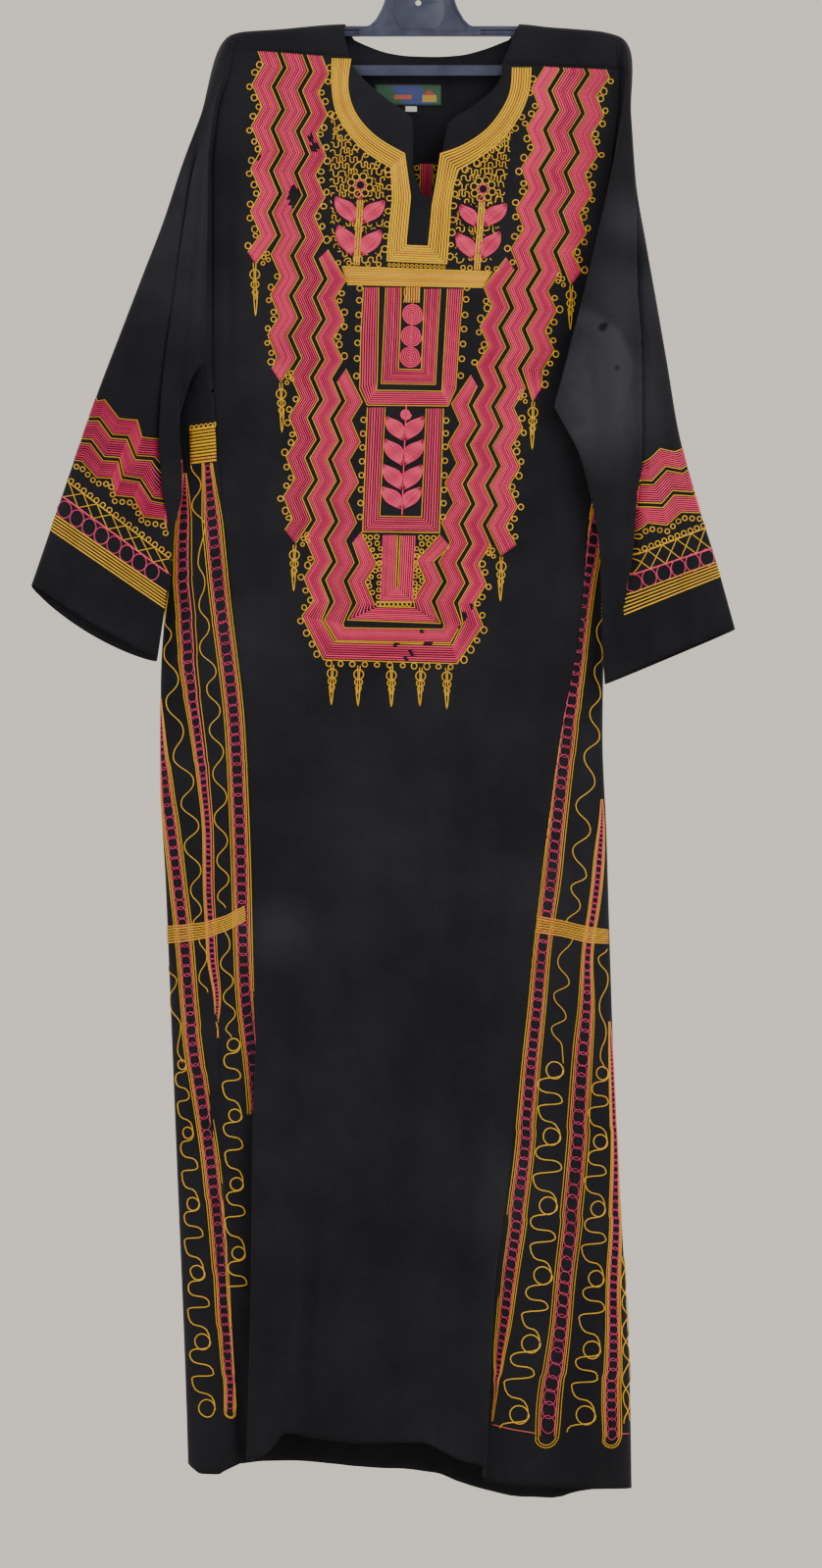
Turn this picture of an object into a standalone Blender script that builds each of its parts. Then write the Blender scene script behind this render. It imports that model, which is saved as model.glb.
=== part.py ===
"""A long loose dress hung on a plastic clothes hanger: its cloth pieces and the hanger as solids.

Every place is given in the front view of the hung dress, in millimetres:
  across  to the right, from a line 428 mm left of the hook
  drop    downwards, from a line 75 mm below the inside of the hook's top
  depth   away from the viewer, from the hook's own plane
The inside of the hook's top, where the whole thing hangs, is the origin. Left and right are the viewer's.
"""

import math
from collections import namedtuple

import bmesh
import bpy
import numpy as np

# ------------------------------------------------------------------ driving sizes (mm)
MM = 0.001
HOOK_ACROSS = 428.0
HOOK_DROP = -75.0
CLOTH_WALL = 1.5
SEAM_GAP = 0.3
SLEEVE_GAP = 0.6  # a little more round the armhole, where the walls meet at an angle
RIDGE_LEVEL = 22.0  # nominal drop of the shoulders' ridge, from which the rows below it lean
RIDGE_ROUND = 10.0  # the cloth turns over the hanger's bar within this drop
FULLNESS = 0.7  # power of the body's rounded section: 1 is an ellipse, less is boxier
HEM_DROP = 1500.0  # level of the last row, before it follows the hem's own line
HEM_REACH = 350.0  # the hem's line is felt this far up
SHOULDER_REACH = 70.0  # and the shoulder seam's this far down

# ------------------------------------------------------------------ lines of the dress
# Each line runs down the dress as pairs of (drop, value); the value is an across, or a depth for half_depth.
LINES = {
    "left_side": [(20, 150), (120, 164), (250, 186), (388, 201), (410, 193), (435, 182), (470, 178), (520, 176),
                  (600, 169), (700, 163), (800, 163), (900, 168), (1000, 172), (1200, 180), (1400, 188), (1500, 191)],
    "right_side": [(20, 712), (120, 690), (250, 660), (388, 628), (435, 620), (545, 619), (750, 615), (850, 619),
                   (950, 622), (1100, 627), (1200, 632), (1300, 638), (1400, 643), (1520, 645)],
    "left_seam": [(30, 241), (67, 235), (113, 222), (176, 216), (322, 216), (388, 217), (435, 220), (600, 235),
                  (750, 252), (930, 259), (1130, 262), (1250, 261), (1450, 257), (1500, 255)],
    "right_seam": [(30, 628), (54, 633), (94, 633), (134, 629), (187, 622), (228, 614), (268, 607), (308, 599),
                   (348, 590), (388, 580), (412, 573), (434, 609), (470, 606), (545, 600), (650, 590), (750, 572),
                   (930, 548), (1200, 518), (1300, 505), (1450, 494), (1520, 492)],
    "left_back": [(30, 241), (67, 235), (113, 224), (176, 214), (322, 209), (388, 212), (435, 218), (600, 232),
                  (900, 250), (1500, 258)],
    "right_back": [(30, 628), (67, 634), (120, 631), (200, 622), (300, 613), (388, 608), (434, 609), (600, 596),
                   (900, 560), (1500, 510)],
    "neck_left": [(50, 355), (59, 359), (78, 374), (100, 396), (117, 417), (123, 421), (168, 421), (200, 429),
                  (240, 427)],
    "neck_right": [(62, 512), (78, 506), (98, 491), (116, 469), (123, 458), (155, 451), (198, 440), (240, 438)],
    "half_depth": [(20, 10), (55, 12), (94, 15), (134, 19), (190, 22), (280, 24), (390, 26), (700, 30),
                   (950, 34), (1200, 38), (1500, 41)],
}

# Lines that run across the dress, as pairs of (across, drop).
RIDGE = [(236, 34), (241, 31), (250, 29.5), (279, 27.6), (353, 22), (529, 22), (560, 25), (587, 27), (610, 29),
         (628, 33), (636, 38)]
SHOULDER_SEAM = [(236, 49), (262, 50), (357, 57), (511, 64), (523, 65), (620, 69), (636, 70)]
BACK_NECK = [(361, 37), (374, 43), (396, 50.5), (418, 53.5), (444, 54), (469, 52.5), (491, 47.5), (519, 37)]
FRONT_HEM = [(190, 1493), (196, 1498), (205, 1503), (222, 1503), (238, 1492), (256, 1486), (270, 1484), (280, 1472),
             (291, 1460), (321, 1465), (374, 1470), (428, 1468), (465, 1485), (481, 1491), (500, 1509), (577, 1516),
             (645, 1519)]
BACK_HEM = [(190, 1493), (230, 1498), (270, 1496), (321, 1498), (374, 1503), (444, 1509), (470, 1519), (497, 1527),
            (534, 1533), (566, 1533), (590, 1527), (645, 1519)]

# Edges of the straps that pass over the hanger, as pairs of (way past the ridge, across); front is negative.
STRAP_LEFT = [(-35, 356.5), (-20, 353), (-7, 350.5), (0, 352), (15, 361)]
STRAP_RIGHT = [(-35, 511.5), (-15, 522), (0, 529), (15, 519)]

# Rows of the pieces, as drops. The body's rows go on from the armhole's end for every piece of the body.
FRONT_TOP_ROWS = [50, 66, 82, 100, 121, 144, 168, 200, 236, 272, 310, 348, 388]
BACK_TOP_ROWS = [66, 96, 130, 168, 210, 252, 298, 344, 388]
UNDERARM_ROWS = [400, 412, 422, 434]
SLIT_END_ROW = 200
BODY_ROWS = [470, 508, 550, 600, 655, 715, 780, 845, 910, 970, 1030, 1090, 1150, 1205, 1260, 1310, 1360, 1405,
             1445, 1478, HEM_DROP]
LEFT_UNDERARM = 400
RIGHT_UNDERARM = 434
STRAP_WAYS = [-10, -5, -1.34, 0, 1.34, 5, 10, 15]  # ways past the ridge, after the two rows at the seam

FRONT_COLUMNS = 9  # cells on each side of the neck
STRAP_COLUMNS = 6
NECK_COLUMNS = 7
GORE_COLUMNS = 10
COLUMN_SHARING = 700.0  # drop over which the back's columns go over from the straps' widths to even ones
EDGE_CROWDING = 0.55  # how much narrower the cells are beside a seam than on average
LABEL_CELLS = (4, 2)  # across and down

# ------------------------------------------------------------------ folds
# A soft fold is a ridge (rise above 0) or a trough along a straight line, with a rounded section.
Fold = namedtuple("Fold", "top_drop top_across end_drop end_across width rise")
FOLD_FADE = 0.3  # share of a fold's length over which each end fades
FOLD_REACH = 3.0  # how soon the folds come up to their height, going from the sides to the middle
FRONT_FOLDS = [
    Fold(110, 246, 330, 244, 15, 4),
    Fold(330, 262, 900, 300, 30, 5),
    Fold(640, 345, 1200, 368, 26, 5),
    Fold(880, 278, 1700, 262, 24, 7),
    Fold(1180, 322, 1500, 306, 14, -6),
    Fold(860, 438, 1700, 425, 40, 6),
    Fold(980, 506, 1700, 470, 26, 7),
    Fold(330, 556, 880, 540, 26, -4),
    Fold(560, 492, 1180, 476, 30, 4),
    Fold(1100, 400, 1700, 374, 22, -4),
]
BACK_FOLDS = [
    Fold(230, 300, 900, 290, 32, 6),
    Fold(260, 560, 860, 540, 30, 6),
    Fold(520, 400, 1250, 376, 30, 5),
    Fold(760, 470, 1700, 500, 34, 8),
    Fold(860, 320, 1700, 300, 34, 8),
    Fold(1050, 410, 1700, 414, 26, 7),
    Fold(1150, 560, 1700, 566, 22, -6),
    Fold(1150, 250, 1700, 240, 22, -6),
]
SIDE_FOLDS = [
    Fold(960, 206, 1560, 242, 10, -5),
    Fold(640, 590, 1300, 600, 12, 3),
    Fold(1180, 604, 1700, 606, 14, 4),
]

# A lap is where the front panel's edge has fallen over the gore beside it; lift is above 0 on the left.
Lap = namedtuple("Lap", "line start_drop full_drop width lap lift")
LAPS = [
    Lap("left_seam", 900, 1180, 26, 11, 5.5),
    Lap("right_seam", 1180, 1420, 26, 10, -5.5),
]
LAP_PEAK = 0.6495  # height of the lap's wave before it is brought to 1

# ------------------------------------------------------------------ sleeves
# Rings along the sleeve: where its outer and inner lines lie, and how the ring bulges. A bow is how far the
# middle of the front or of the back reaches past the straight line between the two, towards the cuff.
SleeveRing = namedtuple(
    "SleeveRing", "along outer_across outer_drop inner_across inner_drop middle_depth half_depth front_bow back_bow")
LEFT_SLEEVE = [
    SleeveRing(0.0, 241, 31, 203, 400, 0, 18, 0, 0),
    SleeveRing(0.1, 222, 66, 192, 407, -8, 18, 0, 0),
    SleeveRing(0.2, 204, 118, 181, 436, -16, 18, 0, 0),
    SleeveRing(0.3, 186, 167, 179, 461, -21, 17, 0, 0),
    SleeveRing(0.4, 166, 228, 186, 482, -25, 16, 0, 0),
    SleeveRing(0.5, 146, 280, 186, 505, -26, 16, 0, 0),
    SleeveRing(0.6, 123, 340, 180, 532, -26, 16, 0, 0),
    SleeveRing(0.7, 100, 400, 176, 556, -25, 16, 2, 3),
    SleeveRing(0.8, 78, 463, 174, 592, -24, 15, 2, 5),
    SleeveRing(0.9, 55, 530, 168, 628, -23, 15, 2, 8),
    SleeveRing(1.0, 32, 597, 161, 674, -22, 14, 1, 12),
]
RIGHT_SLEEVE = [
    SleeveRing(0.0, 629, 33, 616, 432, 0, 18, 0, 0),
    SleeveRing(0.1, 640, 72, 578, 424, -22, 18, 0, 0),
    SleeveRing(0.2, 643, 118, 582, 444, -34, 17, 0, 0),
    SleeveRing(0.3, 648, 190, 592, 466, -39, 16, 0, 0),
    SleeveRing(0.4, 658, 250, 598, 492, -40, 16, 0, 0),
    SleeveRing(0.5, 669, 312, 605, 524, -40, 16, 0, 0),
    SleeveRing(0.6, 680, 375, 610, 556, -38, 16, 0, 0),
    SleeveRing(0.7, 691, 440, 612, 590, -36, 16, 0, 0),
    SleeveRing(0.8, 709, 508, 613, 625, -34, 15, 0, 0),
    SleeveRing(0.9, 731, 578, 614, 663, -32, 15, -1, 0),
    SleeveRing(1.0, 749, 642, 616, 698, -30, 14, -2, 1),
]
SLEEVE_ALONG = [0, 0.03, 0.07, 0.12, 0.18, 0.25, 0.33, 0.41, 0.5, 0.59, 0.68, 0.77, 0.85, 0.92, 0.97, 1.0]
SLEEVE_START = 220.0  # how fast the sleeve leaves the armhole: mm for a whole sleeve's length
ARMHOLE_BLEND = 0.2  # share of the sleeve over which the armhole's shape goes over into the rings'
ROLL_SHARE = 0.16  # share of the sleeve in which its front rolls over the panel beside it
ROLL_ACROSS = 8.0
ROLL_FORWARD = 9.0
UNDERARM_RISE = 12.0  # the sleeve lifts over the gore's top
UNDERARM_FORWARD = 5.0
UNDERARM_POWER = 4  # how narrowly that lift keeps to the underarm
FOLD_TURN = 1.5  # how soon the sleeve's folds come up, going round from its outer line
SLEEVE_FOLDS = [
    Fold(90, 212, 470, 163, 17, -6),
    Fold(420, 118, 720, 92, 14, 5),
    Fold(480, 80, 700, 58, 10, -4),
    Fold(180, 648, 640, 644, 17, -7),
    Fold(260, 622, 520, 630, 20, 4),
    Fold(500, 606, 690, 626, 12, -5),
    Fold(520, 700, 720, 708, 14, 4),
]

# ------------------------------------------------------------------ label and hanger (mm)
LABEL_ACROSS = (381, 450)
LABEL_DROP = (82, 104)
TAB_ACROSS = (413, 425)
TAB_DROP = (104.6, 110)
LABEL_WALL = 0.7

BAR_STATIONS = (251, 262, 285, 308, 330, 353, 400, 440, 480, 529, 551, 573, 594, 616, 622)
BAR_CLEARANCE = 0.5
BAR_PROFILE = [(1.0, 0), (2.6, 1.0), (4.0, 3.0), (4.0, 4.0), (1.5, 4.8), (1.5, 8.0), (3.8, 9.0), (3.8, 10.5)]
BAR_RIBS = (281, 329, 377, 476, 524, 572)
RIB_WIDTH = 1.6
RIB_DROPS = (3.0, 9.5)  # below the bar's top
RIB_HALF_DEPTH = 3.5
BELL_OUTLINE = [(366, 33), (366, 26.5), (377, 23.5), (383, 17.6), (389, 7), (391.6, 0), (395, -12), (402, -23),
                (412, -30), (421, -34)]
BELL_RIM = 2.4
POCKET_START = 2  # the pockets leave out the outline's foot beside the bar
BELL_HALF_DEPTH = 4.0
BELL_WEB_HALF_DEPTH = 1.8
RELIEF_CENTRE = (427.5, 8.0)
RELIEF_RADIUS = 26.0
RELIEF_FLAT_DROP = 27.5
RELIEF_HALF_DEPTH = 2.5
RELIEF_POINTS = 25
HOLE_CENTRE = (426.5, 0.5)
HOLE_RADIUS = 3.0
HOLE_LENGTH = 30.0
FRAME_OUTER = (284.0, 592.0, 75.0)
FRAME_WIDTH = 10.5
FRAME_LINK = 8.0
FRAME_CORNER = 14.0
FRAME_HALF_DEPTH = 3.4
FRAME_TOP_DROP = 31.0
CORNER_POINTS = 5
COLLAR_RADIUS = 6.5
COLLAR_DROPS = (-38.5, -26.0)
BORE_RADIUS = 2.05
BORE_PAST_COLLAR = 5.0
BORE_BOTTOM = -30.0
ROUND_SIDES = 24
HOOK_WIRE_RADIUS = 1.75
HOOK_RADIUS = 19.75  # of the wire's middle line
HOOK_STEM = [(428.0, -30.7), (428.0, -38.5), (429.0, -41.8), (432.5, -44.4), (438.0, -45.4)]
HOOK_TURNS = (-33.0, 212.0)
HOOK_POINTS = 22

# ------------------------------------------------------------------ materials
BLACK_CLOTH = ("dress_cloth", (0.016, 0.016, 0.018), 0.85, 0.0)
LABEL_GREEN = ("label_weave", (0.05, 0.14, 0.09), 0.7, 0.0)
TAB_WHITE = ("tab_satin", (0.8, 0.8, 0.78), 0.6, 0.0)
BLUE_PLASTIC = ("hanger_plastic", (0.04, 0.05, 0.09), 0.4, 0.0)
STEEL = ("hook_steel", (0.6, 0.6, 0.6), 0.3, 1.0)


def clear_scene():
    for item in list(bpy.data.objects):
        bpy.data.objects.remove(item, do_unlink=True)


def new_collection(name):
    collection = bpy.data.collections.new(name)
    bpy.context.scene.collection.children.link(collection)
    return collection


def material(finish):
    name, colour, roughness, metallic = finish
    if name in bpy.data.materials:
        return bpy.data.materials[name]
    made = bpy.data.materials.new(name)
    made.use_nodes = True
    shader = made.node_tree.nodes["Principled BSDF"]
    shader.inputs["Base Color"].default_value = (*colour, 1.0)
    shader.inputs["Roughness"].default_value = roughness
    shader.inputs["Metallic"].default_value = metallic
    return made


def to_world(points):
    """Front view (across, drop, depth) in mm to the part's own frame in metres."""
    points = np.asarray(points, dtype=float)
    across, drop, depth = points[..., 0], points[..., 1], points[..., 2]
    return np.stack([across - HOOK_ACROSS, depth, HOOK_DROP - drop], axis=-1) * MM


def smooth_step(value):
    value = np.clip(value, 0.0, 1.0)
    return value * value * (3.0 - 2.0 * value)


def smooth_through(pairs, at):
    """Smooth curve through the pairs that never overshoots them: a cubic between each two, whose slope at
    a pair is the harmonic mean of the slopes beside it, or flat where they differ in sign."""
    pairs = np.asarray(pairs, dtype=float)
    knots, values = pairs[:, 0], pairs[:, 1]
    step = np.diff(knots)
    slope = np.diff(values) / step
    same_way = slope[:-1] * slope[1:] > 0
    total = np.where(same_way, slope[:-1] + slope[1:], 1.0)
    tangent = np.concatenate([slope[:1], np.where(same_way, 2 * slope[:-1] * slope[1:] / total, 0.0), slope[-1:]])
    at = np.asarray(at, dtype=float)
    cell = np.clip(np.searchsorted(knots, at) - 1, 0, len(step) - 1)
    part = np.clip((at - knots[cell]) / step[cell], 0.0, 1.0)
    rise = part * part * (3 - 2 * part)
    return (values[cell] * (1 - rise) + values[cell + 1] * rise
            + step[cell] * part * (1 - part) * (tangent[cell] * (1 - part) - tangent[cell + 1] * part))


def line(name, drop):
    return smooth_through(LINES[name], drop)


# ------------------------------------------------------------------ the body's surface
def fold_height(across, drop, folds):
    """Height of the soft folds: a raised cosine across each fold, faded in and out along it."""
    height = np.zeros(np.broadcast(across, drop).shape)
    for fold in folds:
        way = (drop - fold.top_drop) / (fold.end_drop - fold.top_drop)
        centre = fold.top_across + (fold.end_across - fold.top_across) * way
        beside = np.clip(np.abs(across - centre) / fold.width, 0.0, 1.0)
        fade = smooth_step(way / FOLD_FADE) * smooth_step((1 - way) / FOLD_FADE)
        height += fold.rise * fade * (1 + np.cos(math.pi * beside)) / 2
    return height


def lap_shift(across, drop):
    """Sideways and depth shift of the laps: one full wave across each seam, so the cloth doubles back on
    itself there in three layers, the front panel's outermost."""
    sideways = np.zeros(np.broadcast(across, drop).shape)
    deeper = np.zeros_like(sideways)
    for lap in LAPS:
        beside = np.clip((across - line(lap.line, drop)) / lap.width, -1.0, 1.0)
        wave = np.sin(math.pi * beside) * (1 + np.cos(math.pi * beside)) / (2 * LAP_PEAK)
        grown = smooth_step((drop - lap.start_drop) / (lap.full_drop - lap.start_drop))
        sideways -= lap.lap * grown * wave
        deeper -= lap.lift * grown * wave
    return sideways, deeper


def body_surface(angle, drop):
    """Outside of the body at an angle round its section: 0 is the centre front, a quarter turn the side and
    a half turn the centre back. The section is a flattened round between the two side lines."""
    left, right = line("left_side", drop), line("right_side", drop)
    across = (left + right) / 2 + (right - left) / 2 * np.sin(angle)
    facing = np.cos(angle)
    past_ridge = np.clip((drop - smooth_through(RIDGE, across)) / RIDGE_ROUND, 0.0, 1.0)
    turned = np.sqrt(1 - (1 - past_ridge) ** 2)
    fullness = np.abs(facing) ** FULLNESS * turned
    on_front = fold_height(across, drop, FRONT_FOLDS + SIDE_FOLDS) * np.clip(FOLD_REACH * facing, 0, 1)
    on_back = fold_height(across, drop, BACK_FOLDS) * np.clip(-FOLD_REACH * facing, 0, 1)
    depth = -line("half_depth", drop) * np.sign(facing) * fullness - on_front + on_back
    sideways, deeper = lap_shift(across, drop)
    across = across + np.where(facing > 0, sideways, 0.0)
    depth = depth + np.where(facing > 0, deeper, 0.0)
    return np.stack(np.broadcast_arrays(across, drop, depth), axis=-1)


def front_angle(across, drop):
    left, right = line("left_side", drop), line("right_side", drop)
    return np.arcsin(np.clip((2 * across - left - right) / (right - left), -1.0, 1.0))


def back_angle(across, drop):
    turned = front_angle(across, drop)
    return np.where(turned < 0, -math.pi - turned, math.pi - turned)


def to_hem(drop, across, hem):
    """Drop of a row near the hem, moved so that the last row follows the hem's line."""
    felt = smooth_step((drop - HEM_DROP + HEM_REACH) / HEM_REACH)
    return drop + (smooth_through(hem, across) - HEM_DROP) * felt


def crowded(count, ends=1):
    """Fractions from 0 to 1 that lie closer together near 0, or near both 0 and 1."""
    even = np.linspace(0, 1, count + 1)
    return even - EDGE_CROWDING * np.sin(ends * math.pi * even) / (ends * math.pi)


# ------------------------------------------------------------------ cloth pieces as grids of points
def front_panel_points():
    rows = np.array(FRONT_TOP_ROWS + UNDERARM_ROWS + BODY_ROWS, dtype=float)[:, None]
    share = crowded(FRONT_COLUMNS)[None, :]
    left_edge = line("left_seam", rows) + SEAM_GAP / 2
    right_edge = line("right_seam", rows) - SEAM_GAP / 2
    left = left_edge + (line("neck_left", rows) - left_edge) * share
    right = right_edge + (line("neck_right", rows) - right_edge) * share
    across = np.concatenate([left, right[:, ::-1]], axis=1)
    shoulder = 1 - smooth_step((rows - FRONT_TOP_ROWS[0]) / SHOULDER_REACH)
    drop = rows + (smooth_through(SHOULDER_SEAM, across) + SEAM_GAP / 2 - FRONT_TOP_ROWS[0]) * shoulder
    drop = to_hem(drop, across, FRONT_HEM)
    return body_surface(front_angle(across, drop), drop)


def front_panel_cells():
    """The neck and its slit: the middle column starts below them."""
    rows = FRONT_TOP_ROWS + UNDERARM_ROWS + BODY_ROWS
    cells = np.ones((len(rows) - 1, 2 * FRONT_COLUMNS + 1), dtype=bool)
    cells[:rows.index(SLIT_END_ROW), FRONT_COLUMNS] = False
    return cells


def back_panel_points():
    levels = np.array(BACK_TOP_ROWS + UNDERARM_ROWS + BODY_ROWS, dtype=float)
    neck_way = STRAP_WAYS[-1]
    ways = np.array([STRAP_LEFT[0][0], (STRAP_LEFT[0][0] + STRAP_WAYS[0]) / 2] + STRAP_WAYS, dtype=float)
    share = crowded(STRAP_COLUMNS)
    # nominal level of each row, and the way past the ridge that sets the straps' inner edges
    level = np.concatenate([RIDGE_LEVEL + np.abs(ways), levels])[:, None]
    way = np.concatenate([ways, np.full(len(levels), neck_way)])[:, None]
    left_edge = line("left_back", level) + SEAM_GAP / 2
    right_edge = line("right_back", level) - SEAM_GAP / 2
    inner_left = smooth_through(STRAP_LEFT, way)
    inner_right = smooth_through(STRAP_RIGHT, way)
    # lower down, the straps' columns and the neck's share the width by their numbers
    sharing = smooth_step((level - levels[0]) / COLUMN_SHARING)
    strap_share = STRAP_COLUMNS / (2 * STRAP_COLUMNS + NECK_COLUMNS)
    inner_left = inner_left + (left_edge + (right_edge - left_edge) * strap_share - inner_left) * sharing
    inner_right = inner_right + (right_edge - (right_edge - left_edge) * strap_share - inner_right) * sharing
    left = left_edge + (inner_left - left_edge) * share
    right = right_edge + (inner_right - right_edge) * share[::-1]
    middle = inner_left + (inner_right - inner_left) * np.linspace(0, 1, NECK_COLUMNS + 1)[1:-1]
    across = np.concatenate([left, middle, right], axis=1)
    ridge = smooth_through(RIDGE, across)
    seam = smooth_through(SHOULDER_SEAM, across) - SEAM_GAP / 2
    on_strap = np.zeros(across.shape[1], dtype=bool)
    on_strap[:STRAP_COLUMNS + 1] = True
    on_strap[-STRAP_COLUMNS - 1:] = True
    drop = np.empty_like(across)
    count = len(ways)
    drop[:count] = ridge[:count] + np.abs(way[:count])
    drop[0] = seam[0]
    drop[1] = (seam[1] + ridge[1] + abs(STRAP_WAYS[0])) / 2
    drop[count - 1] = np.where(on_strap, drop[count - 1], smooth_through(BACK_NECK, across[count - 1]))
    leaning = 1 - smooth_step((level[count:] - levels[0]) / SHOULDER_REACH)
    drop[count:] = level[count:] + (ridge[count:] - RIDGE_LEVEL) * leaning
    drop = to_hem(drop, across, BACK_HEM)
    angle = np.where(way < 0, front_angle(across, drop), back_angle(across, drop))
    return body_surface(angle, drop)


def back_panel_cells():
    """The back neck: between the straps, the cloth starts at the neck's row."""
    strap_rows = len(STRAP_WAYS) + 2
    rows = strap_rows + len(BACK_TOP_ROWS + UNDERARM_ROWS + BODY_ROWS)
    cells = np.ones((rows - 1, 2 * STRAP_COLUMNS + NECK_COLUMNS), dtype=bool)
    cells[:strap_rows - 1, STRAP_COLUMNS:STRAP_COLUMNS + NECK_COLUMNS] = False
    return cells


def gore_points(side, underarm):
    """A side gore: from the front seam, round the side, to the back seam."""
    rows = np.array([row for row in UNDERARM_ROWS if row >= underarm] + BODY_ROWS, dtype=float)[:, None]
    outwards = -SEAM_GAP / 2 if side == "left" else SEAM_GAP / 2
    front_edge = line(side + "_seam", rows) + outwards
    back_edge = line(side + "_back", rows) + outwards
    start, end = front_angle(front_edge, rows), back_angle(back_edge, rows)
    angle = start + (end - start) * crowded(GORE_COLUMNS, ends=2)[None, :]
    left, right = line("left_side", rows), line("right_side", rows)
    across = (left + right) / 2 + (right - left) / 2 * np.sin(angle)
    drop = np.where(np.cos(angle) > 0, to_hem(rows, across, FRONT_HEM), to_hem(rows, across, BACK_HEM))
    drop = drop + np.where(rows == underarm, SEAM_GAP / 2, 0.0)
    # near the hem the row has moved, so the angle is found again from where it lies across
    again = np.where(np.cos(angle) > 0, front_angle(across, drop), back_angle(across, drop))
    return body_surface(again, drop)


def armhole_loop(side, front, back, gore, underarm):
    """Edge of the armhole, from the shoulder's ridge down the front, round the underarm and up the back, and
    the direction in which the cloth beside it runs on into the sleeve."""
    edge, beside = (0, 1) if side == "left" else (-1, -2)
    ridge_row = 2 + STRAP_WAYS.index(0)
    front_rows = (FRONT_TOP_ROWS + UNDERARM_ROWS).index(underarm)
    back_rows = len(STRAP_WAYS) + 2 + (BACK_TOP_ROWS + UNDERARM_ROWS).index(underarm)
    down_front = [back[ridge_row::-1], front[:front_rows]]
    up_back = [back[back_rows - 1:ridge_row:-1]]
    loop = [rows[:, edge] for rows in down_front] + [gore[0]] + [rows[:, edge] for rows in up_back]
    inside = [rows[:, beside] for rows in down_front] + [gore[1]] + [rows[:, beside] for rows in up_back]
    loop, inside = np.concatenate(loop), np.concatenate(inside)
    onwards = loop - inside
    onwards /= np.linalg.norm(onwards, axis=1, keepdims=True)
    onwards += (np.roll(onwards, 1, axis=0) + np.roll(onwards, -1, axis=0)) / 2
    onwards /= np.linalg.norm(onwards, axis=1, keepdims=True)
    bottom = sum(len(rows) for rows in down_front) + int(np.argmin(np.abs(gore[0, :, 2])))
    return loop + onwards * SLEEVE_GAP, onwards, bottom


def loop_turns(loop, bottom):
    """Turn of each point of the loop: 0 at the shoulder, half a turn at the underarm, by the way along."""
    closed = np.concatenate([loop, loop[:1]])
    way = np.concatenate([[0.0], np.cumsum(np.linalg.norm(np.diff(closed, axis=0), axis=1))])
    front = way[:bottom + 1] / way[bottom]
    back = (way[-1] - way[bottom + 1:-1]) / (way[-1] - way[bottom])
    return np.concatenate([np.arccos(1 - 2 * front), 2 * math.pi - np.arccos(1 - 2 * back)])


def sleeve_points(side, rings, loop, onwards, bottom):
    """Rings from the armhole to the cuff: a flattened round through the outer, front, inner and back points
    of the table. Near the top it is the armhole's own shape, carried on the way that the body's cloth runs."""
    turn = loop_turns(loop, bottom)[None, :]
    along = np.array(SLEEVE_ALONG)[:, None]
    table = np.array(rings)

    def column(name):
        return smooth_through(np.stack([table[:, 0], table[:, SleeveRing._fields.index(name)]], axis=1), along)

    depth, half = column("middle_depth"), column("half_depth")
    outer = np.stack([column("outer_across"), column("outer_drop"), depth], axis=-1)
    inner = np.stack([column("inner_across"), column("inner_drop"), depth], axis=-1)
    chord = inner - outer
    length = np.linalg.norm(chord, axis=-1, keepdims=True)
    towards_cuff = np.stack([-chord[..., 1], chord[..., 0], 0 * depth], axis=-1) / length
    towards_cuff = towards_cuff * np.sign(towards_cuff[..., 1:2])
    through = np.array([0.0, 0.0, 1.0])
    front = (outer + inner) / 2 + towards_cuff * column("front_bow")[..., None] - through * half[..., None]
    back = (outer + inner) / 2 + towards_cuff * column("back_bow")[..., None] + through * half[..., None]
    centre = (outer + inner + front + back) / 4
    twice = (outer + inner - front - back) / 4
    ring = (centre + (outer - inner) / 2 * np.cos(turn)[..., None] + (front - back) / 2 * np.sin(turn)[..., None]
            + twice * np.cos(2 * turn)[..., None])
    blend = smooth_step(along / ARMHOLE_BLEND)
    start = loop[None] + onwards[None] * (along * SLEEVE_START)[..., None]
    points = start * (1 - blend[..., None]) + ring * blend[..., None]
    # the front rolls a little way over the panel beside it, and the underarm lifts over the gore's top
    inwards = 1.0 if side == "left" else -1.0
    roll = np.sin(math.pi * np.clip(along / ROLL_SHARE, 0, 1)) * np.sqrt(np.clip(np.sin(turn), 0, 1))
    lift = np.sin(math.pi * blend) * ((1 - np.cos(turn)) / 2) ** UNDERARM_POWER
    points[..., 0] += inwards * ROLL_ACROSS * roll
    points[..., 1] -= UNDERARM_RISE * lift
    points[..., 2] -= ROLL_FORWARD * roll + UNDERARM_FORWARD * lift
    facing = np.clip(FOLD_TURN * np.sin(turn), 0, 1) * blend
    points[..., 2] -= fold_height(points[..., 0], points[..., 1], SLEEVE_FOLDS) * facing
    return points


# ------------------------------------------------------------------ objects
def add_cloth(collection, name, points, finish, wall=CLOTH_WALL, flip=False, closed=False, cells=None):
    """One cloth piece: a grid of points on its outside, given its wall inwards."""
    rows, columns = points.shape[:2]
    index = np.arange(rows * columns).reshape(rows, columns)
    after = np.roll(index, -1, axis=1) if closed else index[:, 1:]
    before = index if closed else index[:, :-1]
    quads = np.stack([before[:-1], before[1:], after[1:], after[:-1]], axis=-1)
    quads = quads.reshape(-1, 4) if cells is None else quads[cells]
    if flip:
        quads = quads[:, ::-1]
    used, quads = np.unique(quads, return_inverse=True)
    mesh = bpy.data.meshes.new(name)
    places = to_world(points.reshape(-1, 3)[used])
    mesh.from_pydata(places.tolist(), [], quads.reshape(-1, 4).tolist())
    mesh.materials.append(material(finish))
    mesh.shade_smooth()
    piece = bpy.data.objects.new(name, mesh)
    collection.objects.link(piece)
    solidify = piece.modifiers.new("wall", "SOLIDIFY")
    solidify.thickness = wall * MM
    solidify.offset = -1.0
    solidify.use_quality_normals = True
    return piece


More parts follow.
